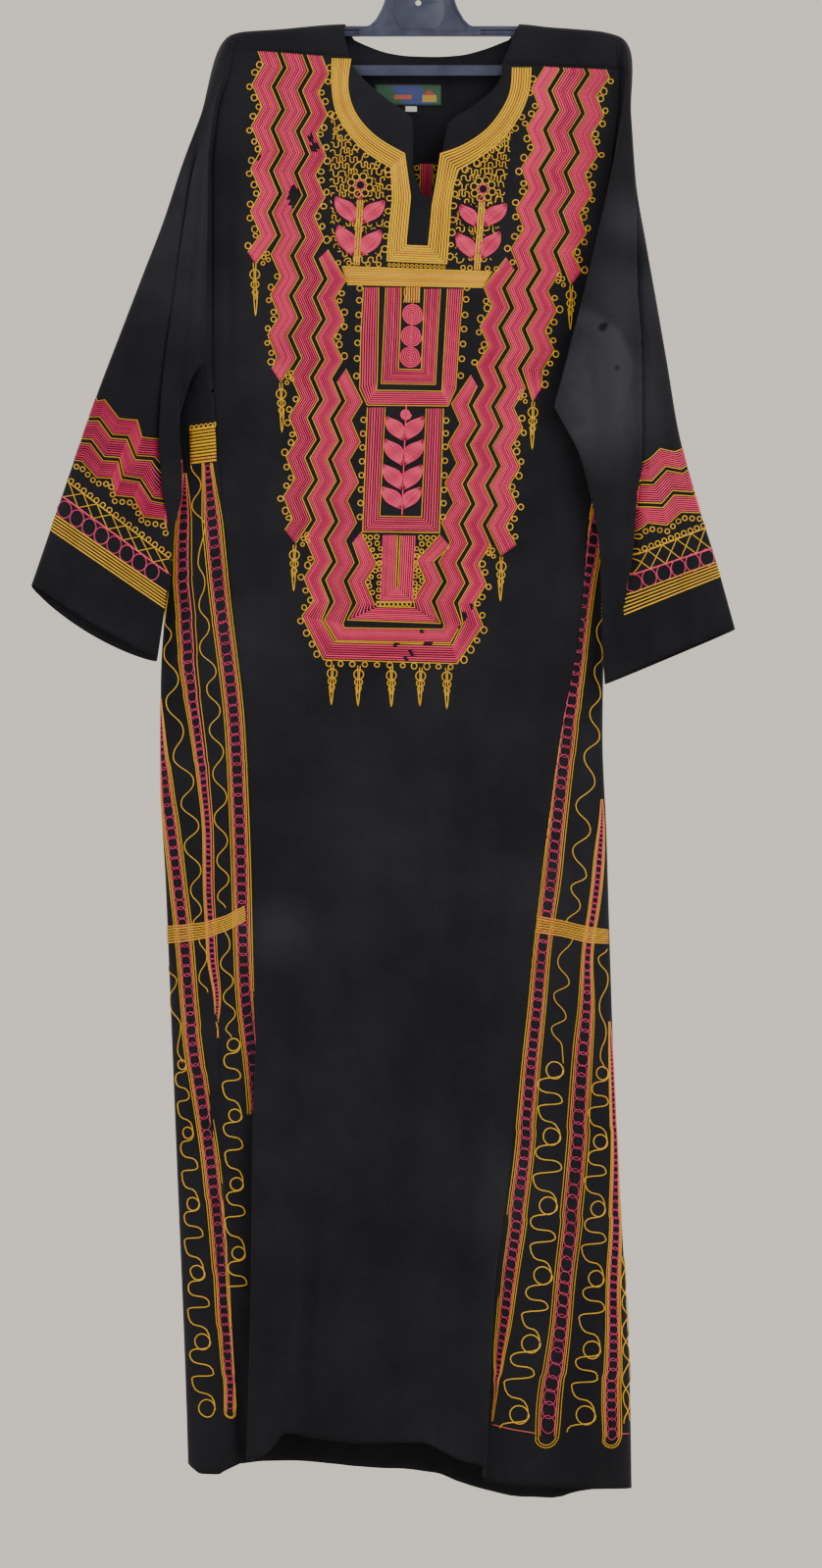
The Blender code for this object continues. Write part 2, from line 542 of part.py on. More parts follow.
def on_back_inside(across, drop, clear):
    """Points that lie inside the back panel, a clearance in front of its inner face."""
    across, drop = np.meshgrid(np.linspace(*across, LABEL_CELLS[0] + 1), np.linspace(*drop, LABEL_CELLS[1] + 1))
    points = body_surface(back_angle(across, drop), drop)
    points[..., 2] -= CLOTH_WALL + clear
    return points


def add_extrusion(collection, name, outline, half_depth, finish, middle_depth=0.0):
    """A flat outline of (across, drop) pairs, as thick as twice the half depth."""
    curve = bpy.data.curves.new(name, "CURVE")
    curve.dimensions = "2D"
    curve.fill_mode = "BOTH"
    curve.extrude = half_depth * MM
    spline = curve.splines.new("POLY")
    spline.points.add(len(outline) - 1)
    spline.use_cyclic_u = True
    for point, (across, drop) in zip(spline.points, outline):
        point.co = ((across - HOOK_ACROSS) * MM, (HOOK_DROP - drop) * MM, 0.0, 1.0)
    guide = bpy.data.objects.new(name, curve)
    collection.objects.link(guide)
    guide.rotation_euler = (math.pi / 2, 0.0, 0.0)
    guide.location = (0.0, middle_depth * MM, 0.0)
    return to_mesh(collection, guide, name, finish)


def to_mesh(collection, guide, name, finish):
    """Replace a curve object by its mesh, with its caps joined on."""
    bpy.context.view_layer.update()
    evaluated = guide.evaluated_get(bpy.context.evaluated_depsgraph_get())
    mesh = bpy.data.meshes.new_from_object(evaluated)
    shape = bmesh.new()
    shape.from_mesh(mesh)
    shape.transform(guide.matrix_world)
    bmesh.ops.remove_doubles(shape, verts=shape.verts, dist=0.00001)
    bmesh.ops.recalc_face_normals(shape, faces=shape.faces)
    shape.to_mesh(mesh)
    shape.free()
    bpy.data.objects.remove(guide, do_unlink=True)
    mesh.name = name
    mesh.materials.clear()
    mesh.materials.append(material(finish))
    piece = bpy.data.objects.new(name, mesh)
    collection.objects.link(piece)
    return piece


def add_bar(collection):
    """The hanger's top bar: one flanged section, carried along the ridge of the shoulders."""
    top = smooth_through(RIDGE, BAR_STATIONS) + CLOTH_WALL + BAR_CLEARANCE
    side = np.array(BAR_PROFILE)
    profile = np.concatenate([side * [-1, 1], side[::-1]])
    shape = bmesh.new()
    rings = []
    for across, drop in zip(BAR_STATIONS, top):
        ring = [shape.verts.new(to_world((across, drop + down, out))) for out, down in profile]
        rings.append(ring)
    count = len(profile)
    for here, there in zip(rings, rings[1:]):
        for corner in range(count):
            after = (corner + 1) % count
            shape.faces.new((here[corner], here[after], there[after], there[corner]))
    shape.faces.new(rings[0])
    shape.faces.new(rings[-1])
    bmesh.ops.recalc_face_normals(shape, faces=shape.faces)
    mesh = bpy.data.meshes.new("hanger_body")
    shape.to_mesh(mesh)
    shape.free()
    mesh.materials.append(material(BLUE_PLASTIC))
    bar = bpy.data.objects.new("hanger_body", mesh)
    collection.objects.link(bar)
    return bar


def add_box(collection, name, across, drop, half_depth, finish):
    """A plain box between two acrosses and two drops, centred on the hook's plane."""
    shape = bmesh.new()
    bmesh.ops.create_cube(shape, size=1.0)
    low, high = to_world((across[0], drop[1], -half_depth)), to_world((across[1], drop[0], half_depth))
    for vertex in shape.verts:
        vertex.co = [low[axis] + (vertex.co[axis] + 0.5) * (high[axis] - low[axis]) for axis in range(3)]
    mesh = bpy.data.meshes.new(name)
    shape.to_mesh(mesh)
    shape.free()
    mesh.materials.append(material(finish))
    piece = bpy.data.objects.new(name, mesh)
    collection.objects.link(piece)
    return piece


def add_cylinder(collection, name, centre, radius, length, axis, finish):
    """A cylinder about the view's own direction or about the drop."""
    turned = (math.pi / 2, 0.0, 0.0) if axis == "depth" else (0.0, 0.0, 0.0)
    shape = bmesh.new()
    bmesh.ops.create_cone(shape, cap_ends=True, segments=ROUND_SIDES, radius1=radius * MM, radius2=radius * MM,
                          depth=length * MM)
    mesh = bpy.data.meshes.new(name)
    shape.to_mesh(mesh)
    shape.free()
    mesh.materials.append(material(finish))
    piece = bpy.data.objects.new(name, mesh)
    piece.rotation_euler = turned
    piece.location = to_world(centre)
    collection.objects.link(piece)
    return piece


def combine(target, tool, operation, cutters):
    """Join a piece to the target or cut it away, and keep the tool out of the model."""
    boolean = target.modifiers.new(operation.lower(), "BOOLEAN")
    boolean.operation = operation
    boolean.solver = "EXACT"
    boolean.object = tool
    tool.hide_render = True
    tool.display_type = "WIRE"
    for holder in list(tool.users_collection):
        holder.objects.unlink(tool)
    cutters.objects.link(tool)


def mirrored(outline):
    """A half outline and its mirror image about the hook's line."""
    return outline + [(2 * HOOK_ACROSS - across, drop) for across, drop in reversed(outline)]


def shrunk(outline, margin):
    """Outline moved inwards by a margin, along the mean normal at each corner."""
    corners = np.array(outline, dtype=float)
    ahead = np.roll(corners, -1, axis=0) - corners
    ahead /= np.linalg.norm(ahead, axis=1, keepdims=True)
    normal = np.stack([-ahead[:, 1], ahead[:, 0]], axis=1)
    mean = normal + np.roll(normal, 1, axis=0)
    mean /= np.sum(mean * normal, axis=1, keepdims=True)
    return (corners + mean * margin).tolist()


def rounded_frame(left, right, bottom, corner, top):
    """Outline of a U: down the left, round two lower corners and up the right."""
    quarter = np.linspace(0, math.pi / 2, CORNER_POINTS)
    points = [(left, top)]
    points += [(left + corner * (1 - math.cos(a)), bottom - corner * (1 - math.sin(a))) for a in quarter]
    points += [(right - corner * (1 - math.sin(a)), bottom - corner * (1 - math.cos(a))) for a in quarter]
    points += [(right, top)]
    return points


def add_hanger(collection, cutters):
    body = add_bar(collection)
    bell = add_extrusion(collection, "bell", mirrored(BELL_OUTLINE), BELL_HALF_DEPTH, BLUE_PLASTIC)
    combine(body, bell, "UNION", cutters)
    foot = (BELL_OUTLINE[POCKET_START][0], BELL_OUTLINE[0][1])
    pocket_outline = shrunk(mirrored([foot] + BELL_OUTLINE[POCKET_START:]), BELL_RIM)
    pocket_depth = BELL_HALF_DEPTH - BELL_WEB_HALF_DEPTH
    for name, side in (("bell_front", -1), ("bell_back", 1)):
        middle = side * (BELL_WEB_HALF_DEPTH + pocket_depth)
        pocket = add_extrusion(collection, name, pocket_outline, pocket_depth, BLUE_PLASTIC, middle)
        combine(body, pocket, "DIFFERENCE", cutters)
    relief_half = math.acos((RELIEF_FLAT_DROP - RELIEF_CENTRE[1]) / RELIEF_RADIUS)
    turns = np.linspace(relief_half, 2 * math.pi - relief_half, RELIEF_POINTS)
    relief = [(RELIEF_CENTRE[0] + RELIEF_RADIUS * math.sin(a), RELIEF_CENTRE[1] + RELIEF_RADIUS * math.cos(a))
              for a in turns]
    combine(body, add_extrusion(collection, "relief", relief, RELIEF_HALF_DEPTH, BLUE_PLASTIC), "UNION", cutters)
    left, right, bottom = FRAME_OUTER
    outer = rounded_frame(left, right, bottom, FRAME_CORNER, FRAME_TOP_DROP)
    inner = rounded_frame(left + FRAME_LINK, right - FRAME_LINK, bottom - FRAME_WIDTH,
                          FRAME_CORNER - FRAME_LINK, FRAME_TOP_DROP)
    frame = add_extrusion(collection, "lower_bar", outer + inner[::-1], FRAME_HALF_DEPTH, BLUE_PLASTIC)
    combine(body, frame, "UNION", cutters)
    for across in BAR_RIBS:
        top = float(smooth_through(RIDGE, across)) + CLOTH_WALL + BAR_CLEARANCE
        rib = add_box(collection, "rib_%d" % across, (across - RIB_WIDTH / 2, across + RIB_WIDTH / 2),
                      (top + RIB_DROPS[0], top + RIB_DROPS[1]), RIB_HALF_DEPTH, BLUE_PLASTIC)
        combine(body, rib, "UNION", cutters)
    collar_middle = (HOOK_ACROSS, sum(COLLAR_DROPS) / 2, 0.0)
    collar = add_cylinder(collection, "collar", collar_middle, COLLAR_RADIUS, COLLAR_DROPS[1] - COLLAR_DROPS[0],
                          "drop", BLUE_PLASTIC)
    combine(body, collar, "UNION", cutters)
    bore_top = COLLAR_DROPS[0] - BORE_PAST_COLLAR
    bore = add_cylinder(collection, "bore", (HOOK_ACROSS, (bore_top + BORE_BOTTOM) / 2, 0.0), BORE_RADIUS,
                        BORE_BOTTOM - bore_top, "drop", BLUE_PLASTIC)
    combine(body, bore, "DIFFERENCE", cutters)
    hole = add_cylinder(collection, "hole", (*HOLE_CENTRE, 0.0), HOLE_RADIUS, HOLE_LENGTH, "depth", BLUE_PLASTIC)
    combine(body, hole, "DIFFERENCE", cutters)


def add_hook(collection):
    """The steel hook: up out of the collar, out to the right, over the top and down to its open end."""
    middle_drop = HOOK_DROP + HOOK_RADIUS - HOOK_WIRE_RADIUS
    turns = np.radians(np.linspace(*HOOK_TURNS, HOOK_POINTS))
    over = [(HOOK_ACROSS + HOOK_RADIUS * math.cos(a), middle_drop - HOOK_RADIUS * math.sin(a)) for a in turns]
    curve = bpy.data.curves.new("hanger_hook", "CURVE")
    curve.dimensions = "3D"
    curve.bevel_depth = HOOK_WIRE_RADIUS * MM
    curve.bevel_resolution = 2
    curve.use_fill_caps = True
    spline = curve.splines.new("POLY")
    route = HOOK_STEM + over
    spline.points.add(len(route) - 1)
    for point, (across, drop) in zip(spline.points, route):
        point.co = (*to_world((across, drop, 0.0)), 1.0)
    guide = bpy.data.objects.new("hanger_hook", curve)
    collection.objects.link(guide)
    return to_mesh(collection, guide, "hanger_hook", STEEL)


def add_dress(collection):
    front, back = front_panel_points(), back_panel_points()
    add_cloth(collection, "front_panel", front, BLACK_CLOTH, cells=front_panel_cells())
    add_cloth(collection, "back_panel", back, BLACK_CLOTH, cells=back_panel_cells(), flip=True)
    for side, underarm, rings in (("left", LEFT_UNDERARM, LEFT_SLEEVE), ("right", RIGHT_UNDERARM, RIGHT_SLEEVE)):
        gore = gore_points(side, underarm)
        add_cloth(collection, "gore_" + side, gore, BLACK_CLOTH, flip=side == "left")
        sleeve = sleeve_points(side, rings, *armhole_loop(side, front, back, gore, underarm))
        add_cloth(collection, "sleeve_" + side, sleeve, BLACK_CLOTH, closed=True, flip=side == "right")
    label = on_back_inside(LABEL_ACROSS, LABEL_DROP, SEAM_GAP)
    tab = on_back_inside(TAB_ACROSS, TAB_DROP, SEAM_GAP)
    add_cloth(collection, "label", label, LABEL_GREEN, wall=LABEL_WALL, flip=True)
    add_cloth(collection, "size_tab", tab, TAB_WHITE, wall=LABEL_WALL, flip=True)


clear_scene()
parts = new_collection("dress_on_hanger")
cutter_collection = new_collection("cutters")
add_dress(parts)
add_hanger(parts, cutter_collection)
add_hook(parts)
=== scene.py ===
"""A long black dress, embroidered by machine in crimson, yellow and orange chain stitch, on a plastic hanger.

Places are worked out in millimetres as (across, drop, depth): across to the right from a line 428 mm left of
the hook, drop downwards from a line 75 mm below the inside of the hook's top, depth away from the viewer.
The body of the dress is a flattened round: at each drop its half width times the sine of an angle gives the
across, and its half depth times the cosine to the power 0.7 gives the depth, to which folds are added.
Embroidery is thread laid on those surfaces: each line of stitches is drawn flat, in (across, drop) or in
(way round, drop), set on the cloth's surface there, and given a half-round section along the cloth's normal.
"""

import math
from collections import namedtuple

import bmesh
import bpy
import numpy as np
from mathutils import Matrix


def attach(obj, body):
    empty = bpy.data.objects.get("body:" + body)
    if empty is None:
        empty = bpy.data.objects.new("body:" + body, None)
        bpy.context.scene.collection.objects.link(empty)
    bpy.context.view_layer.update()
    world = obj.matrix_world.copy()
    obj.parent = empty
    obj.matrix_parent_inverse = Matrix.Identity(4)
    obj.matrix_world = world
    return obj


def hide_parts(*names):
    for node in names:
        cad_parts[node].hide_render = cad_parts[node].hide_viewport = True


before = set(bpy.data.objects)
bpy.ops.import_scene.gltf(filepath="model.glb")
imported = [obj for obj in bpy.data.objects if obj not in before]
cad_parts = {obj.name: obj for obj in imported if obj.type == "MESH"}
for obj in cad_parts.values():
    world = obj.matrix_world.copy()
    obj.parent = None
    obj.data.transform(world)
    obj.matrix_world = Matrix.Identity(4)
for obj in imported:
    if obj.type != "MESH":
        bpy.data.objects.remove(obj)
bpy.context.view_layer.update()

# ------------------------------------------------------------------ the room
# A plain pale floor below the dress, pale air round it, one broad soft light from the upper right and a weaker
# one from the left, and a camera level with the middle of the dress, square on to it.
camera_data = bpy.data.cameras.new("camera")
camera_data.lens = 135.0
camera_data.sensor_width = 36.0
camera = bpy.data.objects.new("camera", camera_data)
camera.location = (-0.009, -6.016, -0.8745)
camera.rotation_euler = (math.pi / 2, 0.0, 0.0)
bpy.context.scene.collection.objects.link(camera)
bpy.context.scene.camera = camera


def add_light(name, place, aim, size, power, colour):
    """A square area light at a place, turned so that its -Z points at the aim."""
    data = bpy.data.lights.new(name, "AREA")
    data.size = size
    data.energy = power
    data.color = colour
    light = bpy.data.objects.new(name, data)
    light.location = place
    away = np.array(place) - np.array(aim)
    light.rotation_euler = (math.acos(away[2] / np.linalg.norm(away)), 0.0, math.atan2(away[0], -away[1]))
    bpy.context.scene.collection.objects.link(light)


add_light("key_light", (1.9, -2.6, 1.0), (0.0, 0.0, -0.8), 2.0, 48.0, (1.0, 0.96, 0.92))
add_light("fill_light", (-2.6, -2.2, -0.4), (0.0, 0.0, -0.9), 2.4, 11.0, (0.93, 0.96, 1.0))

air = bpy.data.worlds.new("pale_air")
air.use_nodes = True
air.node_tree.nodes["Background"].inputs["Color"].default_value = (0.9, 0.83, 0.73, 1.0)
air.node_tree.nodes["Background"].inputs["Strength"].default_value = 1.0
bpy.context.scene.world = air


class Finish:
    """A material in the making. Its nodes' sockets, by name or number, take an output, a number or a colour."""

    def __init__(self, name, values):
        self.material = bpy.data.materials.new(name)
        self.material.use_nodes = True
        self.tree = self.material.node_tree
        self.shade(values)

    def feed(self, node, values):
        for socket, value in values.items():
            if isinstance(value, bpy.types.NodeSocket):
                self.tree.links.new(value, node.inputs[socket])
            else:
                node.inputs[socket].default_value = value

    def shade(self, values):
        self.feed(self.tree.nodes["Principled BSDF"], values)

    def node(self, kind, values, result=0, **settings):
        """An output of a new node, by name or number."""
        new = self.tree.nodes.new("ShaderNode" + kind)
        for setting, value in settings.items():
            setattr(new, setting, value)
        self.feed(new, values)
        return new.outputs[result]

    def maths(self, operation, *values):
        return self.node("Math", dict(enumerate(values)), operation=operation)

    def noise(self, scale, detail=2.0, roughness=0.5):
        values = {"Vector": self.node("TexCoord", {}, "Object"), "Scale": scale, "Detail": detail}
        return self.node("TexNoise", {**values, "Roughness": roughness}, "Fac")

    def ranged(self, value, low, high, to_low=0.0, to_high=1.0, **settings):
        """A value stretched so that low to high becomes to_low to to_high, and held there beyond them."""
        return self.node("MapRange", {"Value": value, "From Min": low, "From Max": high, "To Min": to_low,
                                      "To Max": to_high}, **settings)

    def bump(self, height, strength, distance, **under):
        return self.node("Bump", {"Height": height, "Strength": strength, "Distance": distance, **under})

    def painted(self, under, over, share, **settings):
        """One colour over another by a share from 0 to 1."""
        return self.node("Mix", {0: share, 6: under, 7: over}, 2, data_type="RGBA", **settings)

    def ramp(self, value, deep, bright):
        """The colour that runs from deep to bright, each given as (position, colour)."""
        new = self.tree.nodes.new("ShaderNodeValToRGB")
        for element, (position, colour) in zip(new.color_ramp.elements, (deep, bright)):
            element.position, element.color = position, colour
        self.feed(new, {"Fac": value})
        return new.outputs["Color"]


floor_shape = bmesh.new()
bmesh.ops.create_grid(floor_shape, x_segments=2, y_segments=2, size=1.2)
floor_mesh = bpy.data.meshes.new("floor")
floor_shape.to_mesh(floor_mesh)
floor_shape.free()
floor = bpy.data.objects.new("floor", floor_mesh)
floor.location = (0.0, -0.3, -1.95)
bpy.context.scene.collection.objects.link(floor)
floor_mesh.materials.append(Finish("pale_floor", {"Base Color": (0.62, 0.57, 0.5, 1.0), "Roughness": 0.9}).material)

# ------------------------------------------------------------------ front panel
# One cut of black crepe from the shoulder seams to the hem, with a round neck and a short slit, sewn to the
# gores and sleeves at its sides. It hangs in soft folds from the shoulders, and towards the hem its two edges
# have fallen over the gores.
MM = 0.001
HOOK_ACROSS = 428.0
HOOK_DROP = -75.0
CLOTH_THICK = 0.8
RIDGE_LEVEL = 22.0
RIDGE_ROUND = 10.0  # the cloth turns over the hanger's bar within this drop
FULLNESS = 0.7
HEM_DROP = 1500.0
HEM_REACH = 350.0
SHOULDER_REACH = 70.0

# Lines down the dress as pairs of (drop, across), and its half depth as pairs of (drop, depth).
LINES = {
    "left_side": [(20, 150), (120, 164), (250, 186), (388, 187), (410, 181), (435, 177), (470, 178), (520, 176),
        (600, 169), (700, 163), (800, 163), (900, 168), (1000, 172), (1200, 180), (1400, 188), (1500, 191)],
    "right_side": [(20, 712), (120, 690), (250, 660), (388, 628), (435, 620), (545, 619), (750, 615), (850, 619),
        (950, 622), (1100, 627), (1200, 632), (1300, 638), (1400, 643), (1520, 645)],
    "left_seam": [(30, 241), (67, 235), (113, 222), (176, 216), (322, 216), (388, 217), (435, 220), (600, 235),
        (750, 252), (930, 259), (1130, 262), (1250, 261), (1450, 257), (1500, 255)],
    "right_seam": [(30, 628), (54, 633), (94, 633), (134, 629), (187, 622), (228, 614), (268, 607), (308, 599),
        (348, 590), (388, 580), (412, 573), (434, 609), (470, 606), (545, 600), (650, 590), (750, 572), (930, 548),
        (1200, 518), (1300, 505), (1450, 494), (1520, 492)],
    "left_back": [(30, 241), (67, 235), (113, 224), (176, 214), (322, 209), (388, 212), (435, 218), (600, 232),
        (900, 250), (1500, 258)],
    "right_back": [(30, 628), (67, 634), (120, 631), (200, 622), (300, 613), (388, 608), (434, 609), (600, 596),
        (900, 560), (1500, 510)],
    "neck_left": [(50, 355), (59, 359), (78, 374), (100, 396), (117, 417), (123, 421), (168, 421), (200, 429),
        (240, 427)],
    "neck_right": [(62, 512), (78, 506), (98, 491), (116, 469), (123, 458), (155, 451), (198, 440), (240, 438)],
    "half_depth": [(20, 10), (55, 12), (94, 15), (134, 19), (190, 22), (280, 24), (390, 26), (700, 30), (950, 34),
        (1200, 38), (1500, 41)],
    "left_tuck": [(900, 199), (960, 205), (1060, 222), (1180, 224), (1280, 231), (1420, 238), (1500, 240)],
}
# Lines across the dress as pairs of (across, drop).
RIDGE = [(236, 34), (241, 31), (250, 29.5), (279, 27.6), (353, 22), (529, 22), (560, 25), (587, 27), (610, 29),
    (628, 33), (636, 38)]
SHOULDER_SEAM = [(236, 49), (262, 50), (357, 57), (511, 64), (523, 65), (620, 69), (636, 70)]
FRONT_HEM = [(190, 1493), (196, 1498), (205, 1503), (222, 1503), (238, 1492), (256, 1486), (270, 1484), (280, 1472),
    (291, 1460), (321, 1465), (374, 1470), (428, 1468), (465, 1485), (481, 1491), (500, 1509), (577, 1516),
    (645, 1519)]

# A soft fold is a ridge (rise above 0) or a trough along a straight line, as (top drop, top across, end drop,
# end across, width, rise).
FOLD_FADE = 0.3
FOLD_REACH = 3.0
WAVE_HEIGHT = 1.6
STITCHED_TO, CALM_LEAST = 620.0, 0.25  # the stitching above this drop keeps the cloth flat
SETTLED_BELOW = 40.0  # folds start within this drop below the shoulders' turn
FRONT_FOLDS = [
    (110, 246, 330, 244, 15, 4), (330, 262, 900, 300, 30, 5), (640, 345, 1200, 368, 26, 5),
    (880, 278, 1700, 262, 24, 7), (1180, 322, 1500, 306, 14, -6), (860, 438, 1700, 425, 40, 6),
    (980, 506, 1700, 470, 26, 7), (330, 556, 880, 540, 26, -4), (560, 492, 1180, 476, 30, 4),
    (1100, 400, 1700, 374, 22, -4),
    # finer ones than the solids have
    (690, 343, 990, 354, 9, -2.2), (730, 430, 1060, 452, 12, 1.8), (1040, 352, 1420, 344, 10, 2.0),
    (1240, 318, 1440, 310, 6, -2.4), (1180, 506, 1300, 502, 7, -1.6), (760, 512, 1120, 498, 11, -1.8),
    (820, 300, 1180, 292, 10, -1.6), (1120, 446, 1600, 440, 12, 2.0), (1260, 400, 1650, 404, 12, -1.8),
    (70, 300, 330, 292, 14, 1.2), (60, 574, 340, 566, 16, 1.4), (250, 236, 420, 232, 8, -1.8),
]
SIDE_FOLDS = [
    (960, 206, 1560, 242, 10, -5), (640, 590, 1300, 600, 12, 3), (1180, 604, 1700, 606, 14, 4),
    (560, 200, 900, 190, 9, -1.6), (900, 566, 1300, 560, 8, -1.8), (1120, 585, 1560, 578, 7, -2.0),
    (1000, 186, 1380, 198, 6, 1.5),
]
BACK_FOLDS = [
    (230, 300, 900, 290, 32, 6), (260, 560, 860, 540, 30, 6), (520, 400, 1250, 376, 30, 5),
    (760, 470, 1700, 500, 34, 8), (860, 320, 1700, 300, 34, 8), (1050, 410, 1700, 414, 26, 7),
    (1150, 560, 1700, 566, 22, -6), (1150, 250, 1700, 240, 22, -6),
    # finer ones than the solids have
    (150, 352, 520, 340, 16, 1.8), (130, 508, 560, 520, 14, -1.8), (380, 452, 860, 440, 14, 2.0),
    (620, 352, 1040, 346, 11, -2.0), (900, 446, 1400, 452, 12, -2.2), (980, 530, 1500, 536, 13, 2.2),
    (1100, 360, 1650, 356, 11, -2.2), (1250, 474, 1650, 470, 10, 2.0),
]
# A lap is where one edge of cloth has fallen over the cloth beside it; lift is above 0 where the right side is on
# top.
Lap = namedtuple("Lap", "line start_drop full_drop width lap lift")
LAPS = [
    Lap("left_seam", 900, 1180, 26, 11, 5.5),
    Lap("right_seam", 1180, 1420, 26, 10, -5.5),
    Lap("left_tuck", 930, 1080, 12, 4.5, -3.0),
]
LAP_PEAK = 0.6495  # height of the lap's wave before it is brought to 1
RING_CLOSE = 4.0  # width of a tube's last cell in its flat cloth


def unit(vectors):
    return vectors / np.maximum(np.linalg.norm(vectors, axis=-1, keepdims=True), 1e-9)


def run_lengths(points):
    """Length along a line of points up to each of them."""
    return np.concatenate([[0.0], np.cumsum(np.linalg.norm(np.diff(points, axis=0), axis=1))])


def to_world(points):
    """(across, drop, depth) in mm to the dress's own frame in metres: x right, y away, z up."""
    across, drop, depth = points[..., 0], points[..., 1], points[..., 2]
    return np.stack([across - HOOK_ACROSS, depth, HOOK_DROP - drop], axis=-1) * MM


def smooth_step(value):
    """0 below 0, 1 above 1, and 3v^2 - 2v^3 between."""
    value = np.clip(value, 0.0, 1.0)
    return value * value * (3.0 - 2.0 * value)


def smooth_through(pairs, at):
    """A cubic between each two pairs, whose slope at a pair is the harmonic mean of the slopes beside it."""
    pairs = np.asarray(pairs, dtype=float)
    knots, values = pairs[:, 0], pairs[:, 1]
    step = np.diff(knots)
    slope = np.diff(values) / step
    same_way = slope[:-1] * slope[1:] > 0
    total = np.where(same_way, slope[:-1] + slope[1:], 1.0)
    tangent = np.concatenate([slope[:1], np.where(same_way, 2 * slope[:-1] * slope[1:] / total, 0.0), slope[-1:]])
    at = np.asarray(at, dtype=float)
    cell = np.clip(np.searchsorted(knots, at) - 1, 0, len(step) - 1)
    part = np.clip((at - knots[cell]) / step[cell], 0.0, 1.0)
    rise = part * part * (3 - 2 * part)
    return (values[cell] * (1 - rise) + values[cell + 1] * rise
            + step[cell] * part * (1 - part) * (tangent[cell] * (1 - part) - tangent[cell + 1] * part))


def line(name, drop):
    return smooth_through(LINES[name], drop)


def both_lines(name, drop):
    return line("left_" + name, drop), line("right_" + name, drop)


def raised(beside):
    """A raised cosine: 1 at 0, 0 at -1 and 1."""
    return (1 + np.cos(math.pi * np.clip(beside, -1.0, 1.0))) / 2


def lap_wave(beside):
    """One full wave from -1 to 1, with its highest point at 1."""
    return np.sin(math.pi * np.clip(beside, -1.0, 1.0)) * raised(beside) / LAP_PEAK


def fold_height(across, drop, folds):
    """Sum over the folds of rise x a raised cosine across the fold x a fade along it at both ends."""
    height = np.zeros(np.broadcast(across, drop).shape)
    for top_drop, top_across, end_drop, end_across, width, rise in folds:
        way = (drop - top_drop) / (end_drop - top_drop)
        centre = top_across + (end_across - top_across) * way
        fade = smooth_step(way / FOLD_FADE) * smooth_step((1 - way) / FOLD_FADE)
        height += rise * fade * raised((across - centre) / width)
    return height


def soft_waves(across, drop, seed):
    """Unevenness of hung cloth, from -1 to 1: the mean of nine sines in random directions, 45 to 150 mm long,
    each about twice as long down the cloth as across it."""
    random = np.random.default_rng(seed)
    lengths, turns, starts = random.uniform(45, 150, 9), random.uniform(0, math.pi, 9), random.uniform(0, 6, 9)
    total = 0.0
    for length, turn, start in zip(lengths, turns, starts):
        way = np.cos(turn) * across + np.sin(turn) * drop / 2
        total = total + np.sin(2 * math.pi / length * way + start)
    return total / 4.5


def lap_shift(across, drop):
    """Sideways and depth shift of the laps: one full wave across each lap's line, which doubles the cloth back
    on itself in three layers."""
    sideways = np.zeros(np.broadcast(across, drop).shape)
    deeper = np.zeros_like(sideways)
    for lap in LAPS:
        grown = smooth_step((drop - lap.start_drop) / (lap.full_drop - lap.start_drop))
        wave = grown * lap_wave((across - line(lap.line, drop)) / lap.width)
        sideways -= lap.lap * wave
        deeper -= lap.lift * wave
    return sideways, deeper


def across_at(angle, drop):
    left, right = both_lines("side", drop)
    return (left + right) / 2 + (right - left) / 2 * np.sin(angle)


def body_surface(angle, drop):
    """Outside of the body: across = middle + half width x sin(angle), depth = half depth x cos(angle)^0.7,
    brought to 0 at the shoulders' ridge, plus folds, soft waves and laps."""
    across, facing = across_at(angle, drop), np.cos(angle)
    below_ridge = drop - smooth_through(RIDGE, across)
    turned = np.sqrt(1 - (1 - np.clip(below_ridge / RIDGE_ROUND, 0.0, 1.0)) ** 2)
    fullness = np.abs(facing) ** FULLNESS * turned
    calm = CALM_LEAST + (1 - CALM_LEAST) * smooth_step((drop - STITCHED_TO) / 200)
    on_front = fold_height(across, drop, FRONT_FOLDS + SIDE_FOLDS) + WAVE_HEIGHT * calm * soft_waves(across, drop, 3)
    on_back = fold_height(across, drop, BACK_FOLDS) + WAVE_HEIGHT * soft_waves(across, drop, 8)
    folded = on_front * np.clip(FOLD_REACH * facing, 0, 1) - on_back * np.clip(-FOLD_REACH * facing, 0, 1)
    settled = smooth_step((below_ridge - RIDGE_ROUND) / SETTLED_BELOW)
    depth = -line("half_depth", drop) * np.sign(facing) * fullness - folded * settled
    sideways, deeper = lap_shift(across, drop)
    across = across + np.where(facing > 0, sideways, 0.0)
    depth = depth + np.where(facing > 0, deeper, 0.0)
    return np.stack(np.broadcast_arrays(across, drop, depth), axis=-1)


def front_angle(across, drop):
    """Angle round the body at which the front has this across."""
    left, right = both_lines("side", drop)
    return np.arcsin(np.clip((2 * across - left - right) / (right - left), -1.0, 1.0))


def back_angle(across, drop):
    turned = front_angle(across, drop)
    return np.where(turned < 0, -math.pi - turned, math.pi - turned)


def to_hem(drop, across, hem):
    """Drop of a row near the hem, moved so that the last row follows the hem's line."""
    felt = smooth_step((drop - HEM_DROP + HEM_REACH) / HEM_REACH)
    return drop + (smooth_through(hem, across) - HEM_DROP) * felt


